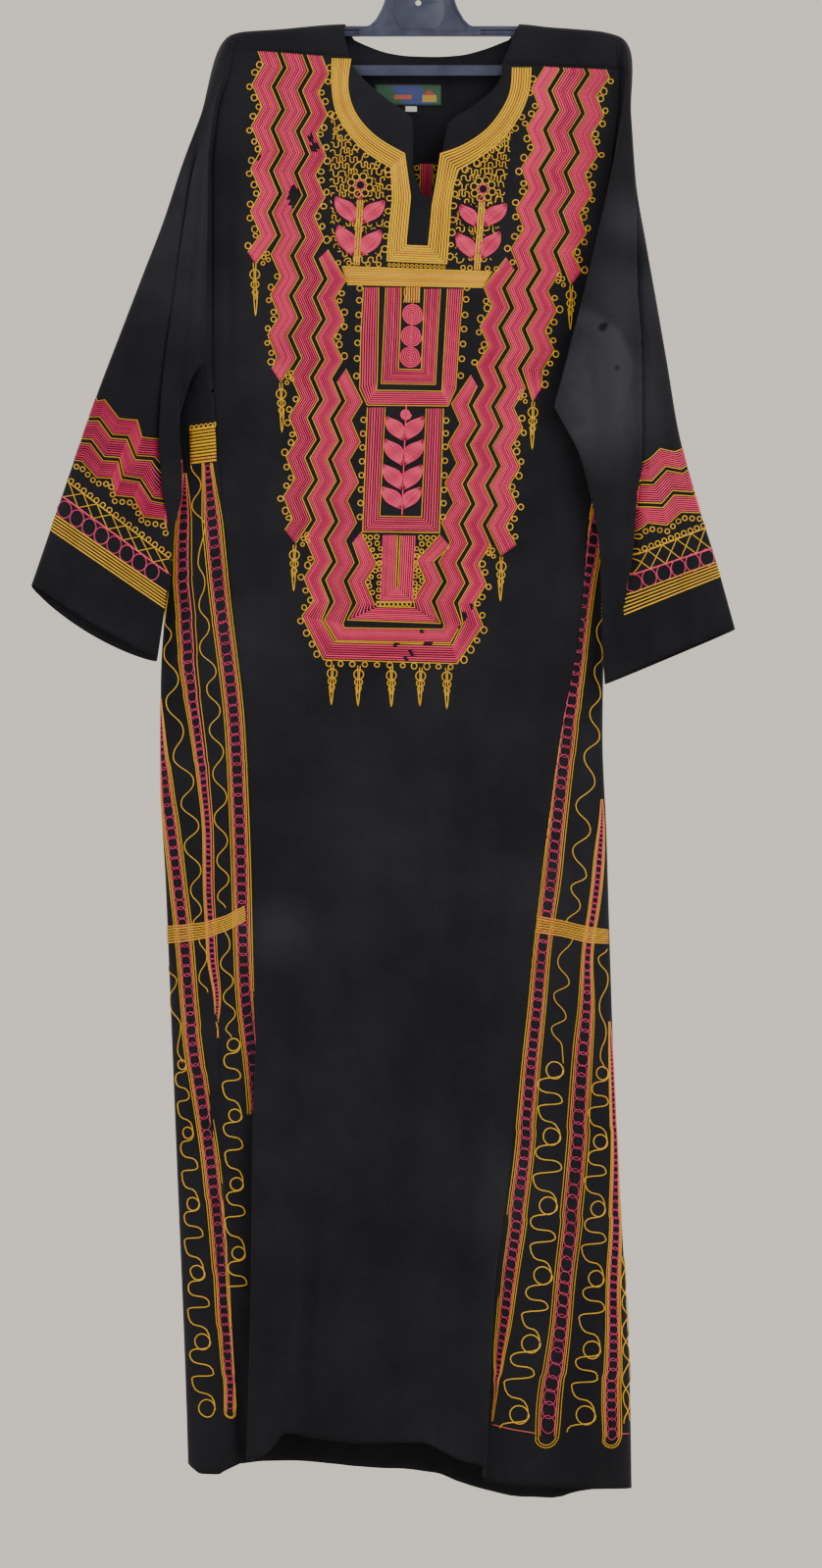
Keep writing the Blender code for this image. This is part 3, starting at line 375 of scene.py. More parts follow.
def black_crepe(name, dust_and_sheen, front):
    """Black crepe: a fine crossed weave as bump, a faint grey bloom in slow noise, and pale patches which are partly
    dust and partly painted sheen where the light falls, as (x, z, radius, strength, share of the radius that is
    full) in metres in the piece's own frame; a strength under 0 is a dark spot. The patches lie only where the
    piece's Y is below front."""
    made = Finish(name, {"Roughness": 0.78, "Specular IOR Level": 0.2, "Sheen Weight": 0.09,
                         "Sheen Roughness": 0.45, "Sheen Tint": (0.75, 0.8, 1.0, 1.0)})
    bloom = made.noise(9.0, 5.0, 0.62)
    grey = made.maths("MULTIPLY", made.ranged(bloom, 0.35, 0.75), 0.28)
    place = made.node("TexCoord", {}, "Object")
    x, y, z = (made.node("SeparateXYZ", {"Vector": place}, axis) for axis in "XYZ")
    mottle = made.maths("MULTIPLY", made.ranged(y, front, front - 0.006), bloom)
    # each patch lays pale colour on the cloth: partly dust and partly painted sheen, and on the sleeves also a
    # painted rim highlight
    for patch_x, patch_z, radius, strength, core in dust_and_sheen:
        away = made.node("CombineXYZ", {"X": made.maths("SUBTRACT", x, patch_x),
                                        "Y": made.maths("SUBTRACT", z, patch_z)})
        away = made.node("VectorMath", {0: away}, "Value", operation="LENGTH")
        patch = made.ranged(away, radius, radius * core, 0.0, strength, interpolation_type="SMOOTHSTEP")
        grey = made.maths("ADD", grey, made.maths("MULTIPLY", patch, mottle))
    grey = made.maths("MULTIPLY_ADD", made.ranged(made.noise(420.0), 0.45, 0.8), 0.1, grey)
    threads = made.node("UVMap", {}, uv_map="cloth")
    warp, weft = (made.node("TexWave", {"Vector": threads, "Scale": 0.42, "Distortion": 1.2, "Detail": 1.0}, "Fac",
                            bands_direction=way) for way in "XY")
    weave = made.bump(made.maths("MULTIPLY", warp, weft), 0.3, 0.00012)
    made.shade({"Base Color": made.painted((0.0034, 0.0040, 0.0078, 1.0), (0.034, 0.037, 0.050, 1.0), grey),
                "Normal": made.bump(made.noise(110.0, 3.0, 0.6), 0.35, 0.0006, Normal=weave)})
    return made.material


def add_modifier(piece, name, kind, **settings):
    modifier = piece.modifiers.new(name, kind)
    for setting, value in settings.items():
        setattr(modifier, setting, value)


def add_piece(mesh, finish, slot_name, node_name=None):
    """A smooth piece of a mesh, which may stand for a solid."""
    mesh.materials.append(finish)
    mesh.shade_smooth()
    piece = bpy.data.objects.new(mesh.name, mesh)
    bpy.context.scene.collection.objects.link(piece)
    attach(piece, "root")
    if node_name:
        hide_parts(node_name)
    return piece


def mesh_of(name, points, faces, layer=None, corners=None):
    """A mesh from points in mm, with its face corners' places in a layer for its finish."""
    mesh = bpy.data.meshes.new(name)
    mesh.from_pydata(to_world(points).tolist(), [], faces)
    if layer:
        mesh.uv_layers.new(name=layer).data.foreach_set("uv", corners.astype(np.float32).ravel())
    return mesh


def grid_cells(rows, columns, closed=False):
    """The corners of a grid's cells; a closed grid's last column of cells joins on to its first."""
    index = np.arange(rows * columns).reshape(rows, columns)
    before, after = (index, np.roll(index, -1, axis=1)) if closed else (index[:, :-1], index[:, 1:])
    return np.stack([before[:-1], before[1:], after[1:], after[:-1]], axis=-1)


def add_cloth(name, points, flat, finish, node_name, closed=False, flip=False, cells=...):
    """A cloth piece on a grid of points in mm on its outside, with its wall inwards. flat is each point's place
    in the cloth in mm, which its weave follows."""
    quads = grid_cells(*points.shape[:2], closed)[cells].reshape(-1, 4)
    if flip:
        quads = quads[:, ::-1]
    used, quads = np.unique(quads, return_inverse=True)
    corners = flat.reshape(-1, 2)[used][quads.ravel()]
    if closed:  # the last column of cells runs on round, past the first one's place
        round_way = corners.reshape(-1, 4, 2)[:, :, 0]
        widest = flat[..., 0].max()
        behind = round_way.max(axis=1, keepdims=True) - round_way
        round_way += np.where(behind > widest / 2, widest + RING_CLOSE, 0.0)
    piece = add_piece(mesh_of(name, points.reshape(-1, 3)[used], quads.reshape(-1, 4).tolist(), "cloth", corners),
                      finish, "dress_cloth", node_name)
    add_modifier(piece, "wall", "SOLIDIFY", thickness=CLOTH_THICK * MM, offset=-1.0, use_quality_normals=True)


def crowded(count):
    """Fractions from 0 to 1 that lie a little closer together near 0."""
    even = np.linspace(0, 1, count + 1)
    return even - 0.4 * np.sin(math.pi * even) / math.pi


SLIT_END = 200.0
UNDERARM = {"left": 400.0, "right": 434.0}
FRONT_SIDE_CELLS = 38
FRONT_NECK_CELLS = 4
# drops of the body's rows, about 6 mm apart, with one on the slit's end and on each underarm
body_rows = np.concatenate([
    np.linspace(50, SLIT_END, 26, endpoint=False), np.linspace(SLIT_END, UNDERARM["left"], 33, endpoint=False),
    np.linspace(UNDERARM["left"], UNDERARM["right"], 6, endpoint=False),
    np.linspace(UNDERARM["right"], HEM_DROP, 179)])
drops = body_rows[:, None]
share = crowded(FRONT_SIDE_CELLS)[None, :]
front_left, front_right = both_lines("seam", drops)
neck_left, neck_right = line("neck_left", drops), line("neck_right", drops)
middle = np.linspace(0, 1, FRONT_NECK_CELLS + 1)[None, 1:-1]
across = np.concatenate([front_left + (neck_left - front_left) * share,
                         neck_left + (neck_right - neck_left) * middle,
                         (front_right + (neck_right - front_right) * share)[:, ::-1]], axis=1)
shoulder = 1 - smooth_step((drops - body_rows[0]) / SHOULDER_REACH)
front_drop = drops + (smooth_through(SHOULDER_SEAM, across) - body_rows[0]) * shoulder
front_drop = to_hem(front_drop, across, FRONT_HEM)
front_points = body_surface(front_angle(across, front_drop), front_drop)
front_cells = np.ones((len(body_rows) - 1, 2 * FRONT_SIDE_CELLS + FRONT_NECK_CELLS), dtype=bool)
front_cells[body_rows[:-1] < SLIT_END - 1, FRONT_SIDE_CELLS:-FRONT_SIDE_CELLS] = False
# pale patches down the front, partly dust and partly painted sheen, which make the cloth lighter grey there
body_crepe = black_crepe("body_crepe", [
    (-0.143, -1.025, 0.05, 0.5, 0.1), (0.06, -1.29, 0.09, 0.25, 0.1), (0.1, -0.98, 0.08, 0.2, 0.1),
    (-0.19, -0.72, 0.07, 0.25, 0.1), (0.16, -0.3, 0.05, 0.3, 0.1)], -0.004)
add_cloth("front_panel_cloth", front_points, np.stack([across, front_drop], axis=-1), body_crepe, "front_panel",
          cells=front_cells)

# ------------------------------------------------------------------ back panel
# One cut from the hem up over the shoulders, whose two straps turn over the hanger's bar and meet the front
# panel at the shoulder seams, some 30 mm down the front.
BACK_NECK = [(361, 37), (374, 43), (396, 50.5), (418, 53.5), (444, 54), (469, 52.5), (491, 47.5), (519, 37)]
BACK_HEM = [(190, 1493), (230, 1498), (270, 1496), (321, 1498), (374, 1503), (444, 1509), (470, 1519), (497, 1527),
    (534, 1533), (566, 1533), (590, 1527), (645, 1519)]
# Inner edges of the straps as pairs of (way past the ridge, across); the front side is negative.
STRAP_LEFT = [(-35, 356.5), (-20, 353), (-7, 350.5), (0, 352), (15, 361)]
STRAP_RIGHT = [(-35, 511.5), (-15, 522), (0, 529), (15, 519)]
STRAP_WAYS = [-35, -29, -23, -17, -13, -10, -7.5, -5, -3, -1.5, -0.5, 0, 0.5, 1.5, 3, 5, 7.5, 10, 15]
SEAM_WAY_ROWS = 4  # rows that lie between the shoulder seam and the turn over the ridge
STRAP_CELLS = 26
BACK_NECK_CELLS = 28

underarm = UNDERARM["left"]
back_levels = np.concatenate([np.linspace(66, underarm, 56, endpoint=False), body_rows[body_rows >= underarm]])
ways = np.array(STRAP_WAYS, dtype=float)
levels = np.concatenate([RIDGE_LEVEL + np.abs(ways), back_levels])[:, None]
way = np.concatenate([ways, np.full(len(back_levels), ways[-1])])[:, None]
back_left, back_right = both_lines("back", levels)
inner_left, inner_right = smooth_through(STRAP_LEFT, way), smooth_through(STRAP_RIGHT, way)
sharing = smooth_step((levels - back_levels[0]) / 700)
strap_share = STRAP_CELLS / (2 * STRAP_CELLS + BACK_NECK_CELLS)
inner_left = inner_left + (back_left + (back_right - back_left) * strap_share - inner_left) * sharing
inner_right = inner_right + (back_right - (back_right - back_left) * strap_share - inner_right) * sharing
share = crowded(STRAP_CELLS)
back_across = np.concatenate([
    back_left + (inner_left - back_left) * share,
    inner_left + (inner_right - inner_left) * np.linspace(0, 1, BACK_NECK_CELLS + 1)[1:-1],
    back_right + (inner_right - back_right) * share[::-1]], axis=1)
ridge, seam = smooth_through(RIDGE, back_across), smooth_through(SHOULDER_SEAM, back_across)
way_rows = len(ways)
back_drop = np.empty_like(back_across)
back_drop[:way_rows] = ridge[:way_rows] + np.abs(way[:way_rows])
down = np.linspace(1, 0, SEAM_WAY_ROWS + 1)[:, None]
turn_drop = ridge[:SEAM_WAY_ROWS + 1] + abs(ways[SEAM_WAY_ROWS])
back_drop[:SEAM_WAY_ROWS + 1] = seam[:SEAM_WAY_ROWS + 1] * down + turn_drop * (1 - down)
between_straps = slice(STRAP_CELLS + 1, -STRAP_CELLS - 1)
back_drop[way_rows - 1, between_straps] = smooth_through(BACK_NECK, back_across[way_rows - 1, between_straps])
leaning = 1 - smooth_step((levels[way_rows:] - back_levels[0]) / SHOULDER_REACH)
back_drop[way_rows:] = levels[way_rows:] + (ridge[way_rows:] - RIDGE_LEVEL) * leaning
back_drop = to_hem(back_drop, back_across, BACK_HEM)
back_turn = np.where(way < 0, front_angle(back_across, back_drop), back_angle(back_across, back_drop))
back_points = body_surface(back_turn, back_drop)
back_cells = np.ones((len(levels) - 1, 2 * STRAP_CELLS + BACK_NECK_CELLS), dtype=bool)
back_cells[:way_rows - 1, STRAP_CELLS:-STRAP_CELLS] = False
back_flat = np.stack([back_across, np.where(way < 0, -back_drop, back_drop)], axis=-1)
add_cloth("back_panel_cloth", back_points, back_flat, body_crepe, "back_panel", flip=True,
          cells=back_cells)

# ------------------------------------------------------------------ side gores
# A long gore on each side, sewn in from the underarm to the hem, wraps from the front seam round the side to
# the back seam. A tuck has formed down the front of the left one.
GORE_CELLS = 42


def gore_angles(side, drop, cells):
    """Angles round the body from a gore's front seam to its back seam."""
    start = front_angle(line(side + "_seam", drop), drop)
    end = back_angle(line(side + "_back", drop), drop)
    return start + (end - start) * np.linspace(0, 1, cells + 1)[None, :]


gore_grids = {}
for side, underarm in UNDERARM.items():
    gore_rows = body_rows[body_rows >= underarm - 0.01][:, None]
    angle = gore_angles(side, gore_rows, GORE_CELLS)
    across, facing_front = across_at(angle, gore_rows), np.cos(angle) > 0
    drop = np.where(facing_front, to_hem(gore_rows, across, FRONT_HEM), to_hem(gore_rows, across, BACK_HEM))
    angle = np.where(facing_front, front_angle(across, drop), back_angle(across, drop))
    gore_grids[side] = body_surface(angle, drop)
    round_way = np.linalg.norm(np.diff(gore_grids[side], axis=1), axis=2).cumsum(axis=1)
    gore_flat = np.stack([np.concatenate([0 * gore_rows, round_way], axis=1), drop], axis=-1)
    add_cloth("gore_%s_cloth" % side, gore_grids[side], gore_flat, body_crepe, "gore_" + side,
              flip=side == "left")

# ------------------------------------------------------------------ sleeves
# A long straight sleeve on each side, one tube from the armhole to the plain cuff. Each hangs flat, and a deep
# crease runs down its front, where the cloth that comes from the shoulder has fallen over the rest.
# Rings down each sleeve as (share of its length; across and drop of the outer point and of the inner point;
# middle depth, half depth; how far the front and the back bow towards the cuff).
SLEEVES = {
    "left": [
        (0.0, 241, 31, 203, 400, 0, 18, 0, 0), (0.1, 222, 66, 192, 407, -8, 18, 0, 0),
        (0.2, 204, 118, 181, 436, -16, 18, 0, 0), (0.3, 186, 167, 179, 461, -21, 17, 0, 0),
        (0.4, 166, 228, 186, 482, -25, 16, 0, 0), (0.5, 146, 280, 186, 505, -26, 16, 0, 0),
        (0.6, 123, 340, 180, 532, -26, 16, 0, 0), (0.7, 100, 400, 176, 556, -25, 16, 2, 3),
        (0.8, 78, 463, 174, 592, -24, 15, 2, 5), (0.9, 55, 530, 168, 628, -23, 15, 2, 8),
        (1.0, 32, 597, 161, 674, -22, 14, 1, 12),
    ],
    "right": [
        (0.0, 629, 33, 616, 432, 0, 18, 0, 0), (0.1, 640, 72, 570, 412, -22, 18, 0, 0),
        (0.2, 643, 118, 565, 416, -34, 17, 0, 0), (0.3, 648, 190, 590, 464, -39, 16, 0, 0),
        (0.4, 658, 250, 598, 492, -40, 16, 0, 0), (0.5, 669, 312, 605, 524, -40, 16, 0, 0),
        (0.6, 680, 375, 610, 556, -38, 16, 0, 0), (0.7, 691, 440, 612, 590, -36, 16, 0, 0),
        (0.8, 709, 508, 613, 625, -34, 15, 0, 0), (0.9, 731, 578, 614, 663, -32, 15, -1, 0),
        (1.0, 749, 642, 616, 698, -30, 14, -2, 1),
    ],
}
SLEEVE_TUCK = 0.5
SLEEVE_START = 220.0  # how fast the sleeve leaves the armhole: mm for a whole sleeve's length
ARMHOLE_BLEND = 0.2
ROLL_SHARE = 0.2
ROLL_OVER, ROLL_RISE = 8.0, 9.0  # how far the sleeve's top rolls over the body at the armhole
LIFT_UP, LIFT_RISE = 12.0, 5.0  # how far the underarm is drawn up
SLEEVE_FOLDS = {
    "left": [
        (90, 212, 470, 163, 17, -6), (420, 118, 720, 92, 14, 5), (480, 80, 700, 58, 10, -4),
        (120, 232, 360, 236, 9, 2.5), (210, 210, 420, 206, 10, 2.0), (470, 152, 700, 130, 10, 3.0),
        (300, 148, 560, 112, 10, -2.0),
    ],
    "right": [
        (180, 648, 640, 644, 17, -7), (260, 622, 520, 630, 20, 4), (500, 606, 690, 626, 12, -5),
        (520, 700, 720, 708, 14, 4), (330, 598, 470, 606, 9, -2.0), (360, 668, 600, 694, 10, -2.0),
        (560, 660, 720, 668, 9, 2.0),
    ],
}
# The crease down each sleeve as pairs of (drop, across); the cloth on the shoulder's side lies on top.
SLEEVE_CREASE = {
    "left": [(129, 205), (182, 197), (228, 190), (281, 182), (322, 177), (362, 171), (402, 167), (447, 165),
        (500, 168), (553, 174)],
    "right": [(166, 647), (241, 646), (295, 647), (348, 651), (403, 652), (472, 652), (508, 647), (571, 642),
        (598, 638), (632, 632)],
}
CREASE_WIDTH, CREASE_LAP, CREASE_LIFT, CREASE_FADE = 11.0, 5.0, 4.0, 60.0
SLEEVE_ROWS = 118
SLEEVE_LENGTH = 600.0


def armhole_loop(side):
    """Every second point of the armhole's edge, from the ridge down the front, round the underarm and up the
    back, the way in which the cloth beside each runs on, and each point's turn: 0 at the shoulder and half a
    turn at the underarm, as the cosine of the way along the edge."""
    edge, beside = (0, 1) if side == "left" else (-1, -2)
    ridge_row = STRAP_WAYS.index(0)
    front_count = int(np.argmin(np.abs(body_rows - UNDERARM[side])))
    back_count = way_rows + int(np.argmin(np.abs(back_levels - UNDERARM[side])))
    gore = gore_grids[side]

    def edge_column(column, gore_row):
        return np.concatenate([back_points[ridge_row::-1, column], front_points[:front_count, column],
                               gore[gore_row], back_points[back_count - 1:ridge_row:-1, column]])

    loop = edge_column(edge, 0)
    onwards = unit(loop - edge_column(beside, 1))
    for _ in range(6):
        onwards = unit(onwards + (np.roll(onwards, 1, axis=0) + np.roll(onwards, -1, axis=0)) / 2)
    bottom = ridge_row + 1 + front_count + int(np.argmin(np.abs(gore[0, :, 2])))
    length = run_lengths(np.concatenate([loop, loop[:1]]))
    front = length[:bottom + 1] / length[bottom]
    back = (length[-1] - length[bottom + 1:-1]) / (length[-1] - length[bottom])
    turn = np.concatenate([np.arccos(1 - 2 * front), 2 * math.pi - np.arccos(1 - 2 * back)])
    return loop[::2], onwards[::2], turn[::2]


def sleeve_ring(side, turn, along):
    """A flattened round through the outer, front, inner and back points of the sleeve's table."""
    table = np.array(SLEEVES[side])
    outer_across, outer_drop, inner_across, inner_drop, depth, half, front_bow, back_bow = (
        smooth_through(table[:, [0, column]], along)[..., None] for column in range(1, 9))
    outer = np.concatenate([outer_across, outer_drop, depth], axis=-1)
    inner = np.concatenate([inner_across, inner_drop, depth], axis=-1)
    chord = inner - outer
    to_cuff = unit(np.stack([-chord[..., 1], chord[..., 0], 0 * chord[..., 0]], axis=-1))
    to_cuff = to_cuff * np.sign(to_cuff[..., 1:2])
    through = np.array([0.0, 0.0, 1.0])
    front = (outer + inner) / 2 + to_cuff * front_bow - through * half
    back = (outer + inner) / 2 + to_cuff * back_bow + through * half
    centre, twice = (outer + inner + front + back) / 4, (outer + inner - front - back) / 4
    turn = np.asarray(turn)[..., None]
    return (centre + (outer - inner) / 2 * np.cos(turn) + (front - back) / 2 * np.sin(turn)
            + twice * np.cos(2 * turn))


def sleeve_shape(side, points, turn, along):
    """The ring's points with the roll at the armhole, the lift at the underarm, the folds, and the crease, which
    is a lap of the shoulder's side over the rest."""
    points = points.copy()
    inwards = 1.0 if side == "left" else -1.0
    blend = smooth_step(along / ARMHOLE_BLEND)
    roll = np.sin(math.pi * np.clip(along / ROLL_SHARE, 0, 1)) ** 2 * np.sqrt(np.clip(np.sin(turn), 0, 1))
    lift = np.sin(math.pi * blend) * ((1 - np.cos(turn)) / 2) ** 4
    points[..., 0] += inwards * ROLL_OVER * roll
    points[..., 1] -= LIFT_UP * lift
    points[..., 2] -= ROLL_RISE * roll + LIFT_RISE * lift
    across, drop = points[..., 0].copy(), points[..., 1].copy()
    folds = fold_height(across, drop, SLEEVE_FOLDS[side]) * np.clip(1.5 * np.sin(turn), 0, 1)
    points[..., 2] -= (folds + soft_waves(across, drop, 11) * 1.3 * np.sin(turn)) * blend
    crease = SLEEVE_CREASE[side]
    grown = (smooth_step((drop - crease[0][0]) / CREASE_FADE) * smooth_step((crease[-1][0] - drop) / CREASE_FADE)
             * np.clip(3 * np.sin(turn), 0, 1))
    wave = lap_wave((across - smooth_through(crease, drop)) / CREASE_WIDTH) * grown
    points[..., 0] -= CREASE_LAP * wave
    points[..., 2] -= inwards * CREASE_LIFT * wave
    return points


# pale patches on both sleeves' lobes, partly dust and partly painted sheen where the light falls; at (0.150, -0.455)
# a pale disc less a dark one leaves a crescent of painted rim highlight; three small dark spots
sleeve_crepe = black_crepe("sleeve_crepe", [
    (0.216, -0.30, 0.045, 0.8, 0.1), (0.206, -0.38, 0.05, 0.7, 0.2), (0.170, -0.48, 0.105, 1.8, 0.2),
    (0.150, -0.455, 0.070, 0.8, 0.84), (0.145, -0.461, 0.063, -0.75, 0.7), (0.185, -0.412, 0.006, -1.8, 0.3),
    (0.188, -0.409, 0.005, -1.4, 0.1), (0.200, -0.453, 0.005, -1.6, 0.3), (-0.222, -0.30, 0.14, 0.9, 0.1),
    (-0.205, -0.2, 0.09, 0.5, 0.1)], -0.022)
for side in SLEEVES:
    loop, onwards, loop_turn = armhole_loop(side)
    turn = loop_turn[None, :]
    along = (np.linspace(0, 1, SLEEVE_ROWS) ** 1.15)[:, None]
    blend = smooth_step(along / ARMHOLE_BLEND)[..., None]
    start = loop[None] + onwards[None] * (along * SLEEVE_START - SLEEVE_TUCK)[..., None]
    start[..., 2] *= 1 - 0.02 * np.clip(1 - along * 30, 0, 1)  # the tucked edge lies under the body's cloth
    blended = start * (1 - blend) + sleeve_ring(side, turn, along) * blend
    sleeve_points = sleeve_shape(side, blended, turn + 0 * along, along + 0 * turn)
    round_way = run_lengths(sleeve_points[SLEEVE_ROWS // 2])[None, :]
    sleeve_flat = np.stack(np.broadcast_arrays(round_way, along * SLEEVE_LENGTH), axis=-1)
    add_cloth("sleeve_%s_cloth" % side, sleeve_points, sleeve_flat, sleeve_crepe, "sleeve_" + side,
              closed=True, flip=side == "right")

# ------------------------------------------------------------------ label and size tab
# A woven satin label sewn inside the back neck, in plain bands of colour, and under it a small white tab, which
# is a bit of ribbon folded in two.
LABEL_ACROSS, LABEL_DROP = (381, 450), (82, 104)
TAB_ACROSS, TAB_DROP = (413, 425), (104.6, 110)
RIBBON_THICK, RIBBON_FOLD = 0.25, 0.35  # the fold's radius is measured to the ribbon's middle
LABEL_CELLS, TAB_CELLS = (20, 8), 6
INSIDE_CLEAR = CLOTH_THICK + 1.0
TURNED_OVER = [0, 3, 2, 1]


def inside_back(name, across, drop, proud, thick, finish, node_name, slot_name):
    """A strip on the inside of the back panel: grids of across and drop in mm, and how far its middle stands in
    front of the panel's outside there, with its wall to both sides."""
    points = body_surface(back_angle(across, drop), drop)
    points[..., 2] -= proud
    rows, columns = points.shape[:2]
    flat = np.stack(np.meshgrid(np.linspace(0, 1, columns), np.linspace(0, 1, rows)), axis=-1).reshape(-1, 2)
    quads = grid_cells(rows, columns)[..., TURNED_OVER].reshape(-1, 4)
    mesh = mesh_of(name, points.reshape(-1, 3), quads.tolist(), "cloth", flat[quads.ravel()])
    piece = add_piece(mesh, finish, slot_name, node_name)
    add_modifier(piece, "wall", "SOLIDIFY", thickness=thick * MM, offset=0.0)


def woven_bands():
    """The label's cloth: green ground, a blue slanting band, a red block and a yellow one at the right, a dark
    red border above and below, and a ribbed satin bump."""
    made = Finish("label_weave", {"Roughness": 0.5})
    place = made.node("UVMap", {}, uv_map="cloth")
    across, down = (made.node("SeparateXYZ", {"Vector": place}, axis) for axis in "XY")

    def both(first, second):
        return made.maths("MULTIPLY", first, second)

    def inside(value, low, high):
        return both(made.maths("GREATER_THAN", value, low), made.maths("LESS_THAN", value, high))

    def away(value, middle):
        return made.maths("ABSOLUTE", made.maths("SUBTRACT", value, middle))

    slant = made.maths("ADD", across, both(down, -0.25))
    roof = made.maths("ADD", away(across, 0.82), both(made.maths("SUBTRACT", 0.5, down), 0.4))
    colour = (0.02, 0.09, 0.05, 1.0)
    for share, over in (
            (inside(slant, 0.22, 0.66), (0.03, 0.055, 0.22, 1.0)),
            (both(inside(across, 0.72, 0.93), inside(down, 0.5, 0.82)), (0.45, 0.3, 0.04, 1.0)),
            (both(made.maths("LESS_THAN", roof, 0.1), inside(down, 0.2, 0.5)), (0.32, 0.06, 0.05, 1.0)),
            (both(inside(across, 0.3, 0.56), inside(down, 0.5, 0.7)), (0.42, 0.09, 0.04, 1.0)),
            (made.maths("GREATER_THAN", away(down, 0.5), 0.44), (0.03, 0.05, 0.035, 1.0))):
        colour = made.painted(colour, over, share)
    rib = made.node("TexWave", {"Vector": place, "Scale": 12.0}, "Fac", bands_direction="Y")
    made.shade({"Base Color": colour, "Normal": made.bump(rib, 0.3, 0.0002)})
    return made.material


across, drop = np.meshgrid(np.linspace(*LABEL_ACROSS, LABEL_CELLS[0] + 1),
                           np.linspace(*LABEL_DROP, LABEL_CELLS[1] + 1))
inside_back("label_cloth", across, drop, INSIDE_CLEAR, 0.5, woven_bands(), "label", "label_weave")
# white ribbon with fine ribs, down its back layer, round its fold, and up its front layer
satin = Finish("tab_satin", {"Base Color": (0.72, 0.72, 0.7, 1.0), "Roughness": 0.45})
satin.shade({"Normal": satin.bump(satin.noise(900.0), 0.4, 0.0002)})
turned = np.linspace(0, math.pi, 7)
fold_drop = TAB_DROP[1] - RIBBON_FOLD
ribbon_drop = np.concatenate([np.linspace(TAB_DROP[0], fold_drop, 4, endpoint=False),
                              fold_drop + RIBBON_FOLD * np.sin(turned), np.linspace(fold_drop, TAB_DROP[0], 5)[1:]])
ribbon_proud = INSIDE_CLEAR + RIBBON_FOLD * np.concatenate([np.full(4, -1.0), -np.cos(turned), np.full(4, 1.0)])
across, drop = np.meshgrid(np.linspace(*TAB_ACROSS, TAB_CELLS + 1), ribbon_drop)
inside_back("size_tab_ribbon", across, drop, ribbon_proud[:, None], RIBBON_THICK, satin.material, "size_tab",
            "tab_satin")

# ------------------------------------------------------------------ hanger
# Moulded in one piece of dark slate-blue plastic: a bell with a round relief, a flanged top bar and a flat lower
# bar. A plain steel hook stands in its collar. The moulding's edges are a little rounded and scuffed.
plastic = Finish("hanger_plastic", {})
cloud = plastic.noise(38.0, 6.0)
slate = plastic.ramp(cloud, (0.35, (0.022, 0.031, 0.071, 1.0)), (0.72, (0.047, 0.062, 0.118, 1.0)))
plastic.shade({"Base Color": slate, "Roughness": plastic.ranged(cloud, 0.0, 1.0, 0.3, 0.5),
               "Normal": plastic.bump(plastic.noise(700.0), 0.12, 0.0003)})
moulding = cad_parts["hanger_body"].data.copy()
moulding.name = "hanger_moulding"
moulding.materials.clear()
shape = bmesh.new()
shape.from_mesh(moulding)
bmesh.ops.remove_doubles(shape, verts=shape.verts, dist=0.00002)
bmesh.ops.dissolve_limit(shape, angle_limit=math.radians(1.0), verts=shape.verts, edges=shape.edges)
shape.to_mesh(moulding)
shape.free()
hanger = add_piece(moulding, plastic.material, "hanger_plastic", "hanger_body")
add_modifier(hanger, "edge_round", "BEVEL", width=0.0005, segments=2, limit_method="ANGLE",
             angle_limit=math.radians(35), harden_normals=True)

HOOK_WIRE_RADIUS = 1.75
HOOK_RADIUS = 19.75
HOOK_SIDES = 20
# the stem as (share of its way, across, drop), from inside the collar to where the round bend starts
HOOK_STEM = np.array([(0, 428.0, -30.7), (0.45, 428.0, -38.0), (0.62, 428.7, -41.8), (0.8, 432.2, -44.4),
                      (1.0, 438.0, -45.4)])
hook_middle = HOOK_DROP + HOOK_RADIUS - HOOK_WIRE_RADIUS
bend = np.radians(np.linspace(-33.0, 212.0, 70))
route = np.concatenate([
    np.stack([smooth_through(HOOK_STEM[:, [0, column]], np.linspace(0, 1, 26)) for column in (1, 2)], axis=1),
    np.stack([HOOK_ACROSS + HOOK_RADIUS * np.cos(bend), hook_middle - HOOK_RADIUS * np.sin(bend)], axis=1)])
ahead = unit(np.gradient(route, axis=0))
beside = np.stack([-ahead[:, 1], ahead[:, 0]], axis=1)
# two rings at the open end close it as a small dome
radii = HOOK_WIRE_RADIUS * np.array([1.0] * len(route) + [0.72, 0.0])[:, None]
route = np.concatenate([route, route[-1:] + ahead[-1:] * 0.9, route[-1:] + ahead[-1:] * 1.3])
beside = np.concatenate([beside, beside[-1:], beside[-1:]])
turns = np.linspace(0, 2 * math.pi, HOOK_SIDES, endpoint=False)
wire = np.concatenate([route[:, None, :] + beside[:, None, :] * (radii * np.cos(turns))[..., None],
                       (radii * np.sin(turns))[..., None]], axis=-1).reshape(-1, 3)
cells = grid_cells(len(route), HOOK_SIDES, closed=True)[..., TURNED_OVER].reshape(-1, 4)
hook_mesh = mesh_of("hook_wire", wire, cells.tolist() + [list(range(HOOK_SIDES))[::-1]])
shape = bmesh.new()
shape.from_mesh(hook_mesh)
bmesh.ops.remove_doubles(shape, verts=shape.verts, dist=0.00001)
bmesh.ops.recalc_face_normals(shape, faces=shape.faces)
shape.to_mesh(hook_mesh)
shape.free()
steel = Finish("hook_steel", {"Metallic": 1.0, "Base Color": (0.62, 0.62, 0.61, 1.0)})
steel.shade({"Roughness": steel.ranged(steel.noise(160.0), 0.0, 1.0, 0.2, 0.42)})
add_piece(hook_mesh, steel.material, "hook_steel", "hanger_hook")

# ------------------------------------------------------------------ stitched bands on the chest
# Machine chain stitch in thick shiny thread: six nested zigzag bands on each side of the neck slit, each of seven
# crimson threads between two yellow ones. The outer three end in points above one another, and the inner three
# meet below the slit in a U.
STITCH = 2.3  # one loop of chain stitch
BAND_THREADS = 9
BAND_INSET = 2.9
ZIGZAG = 5.3
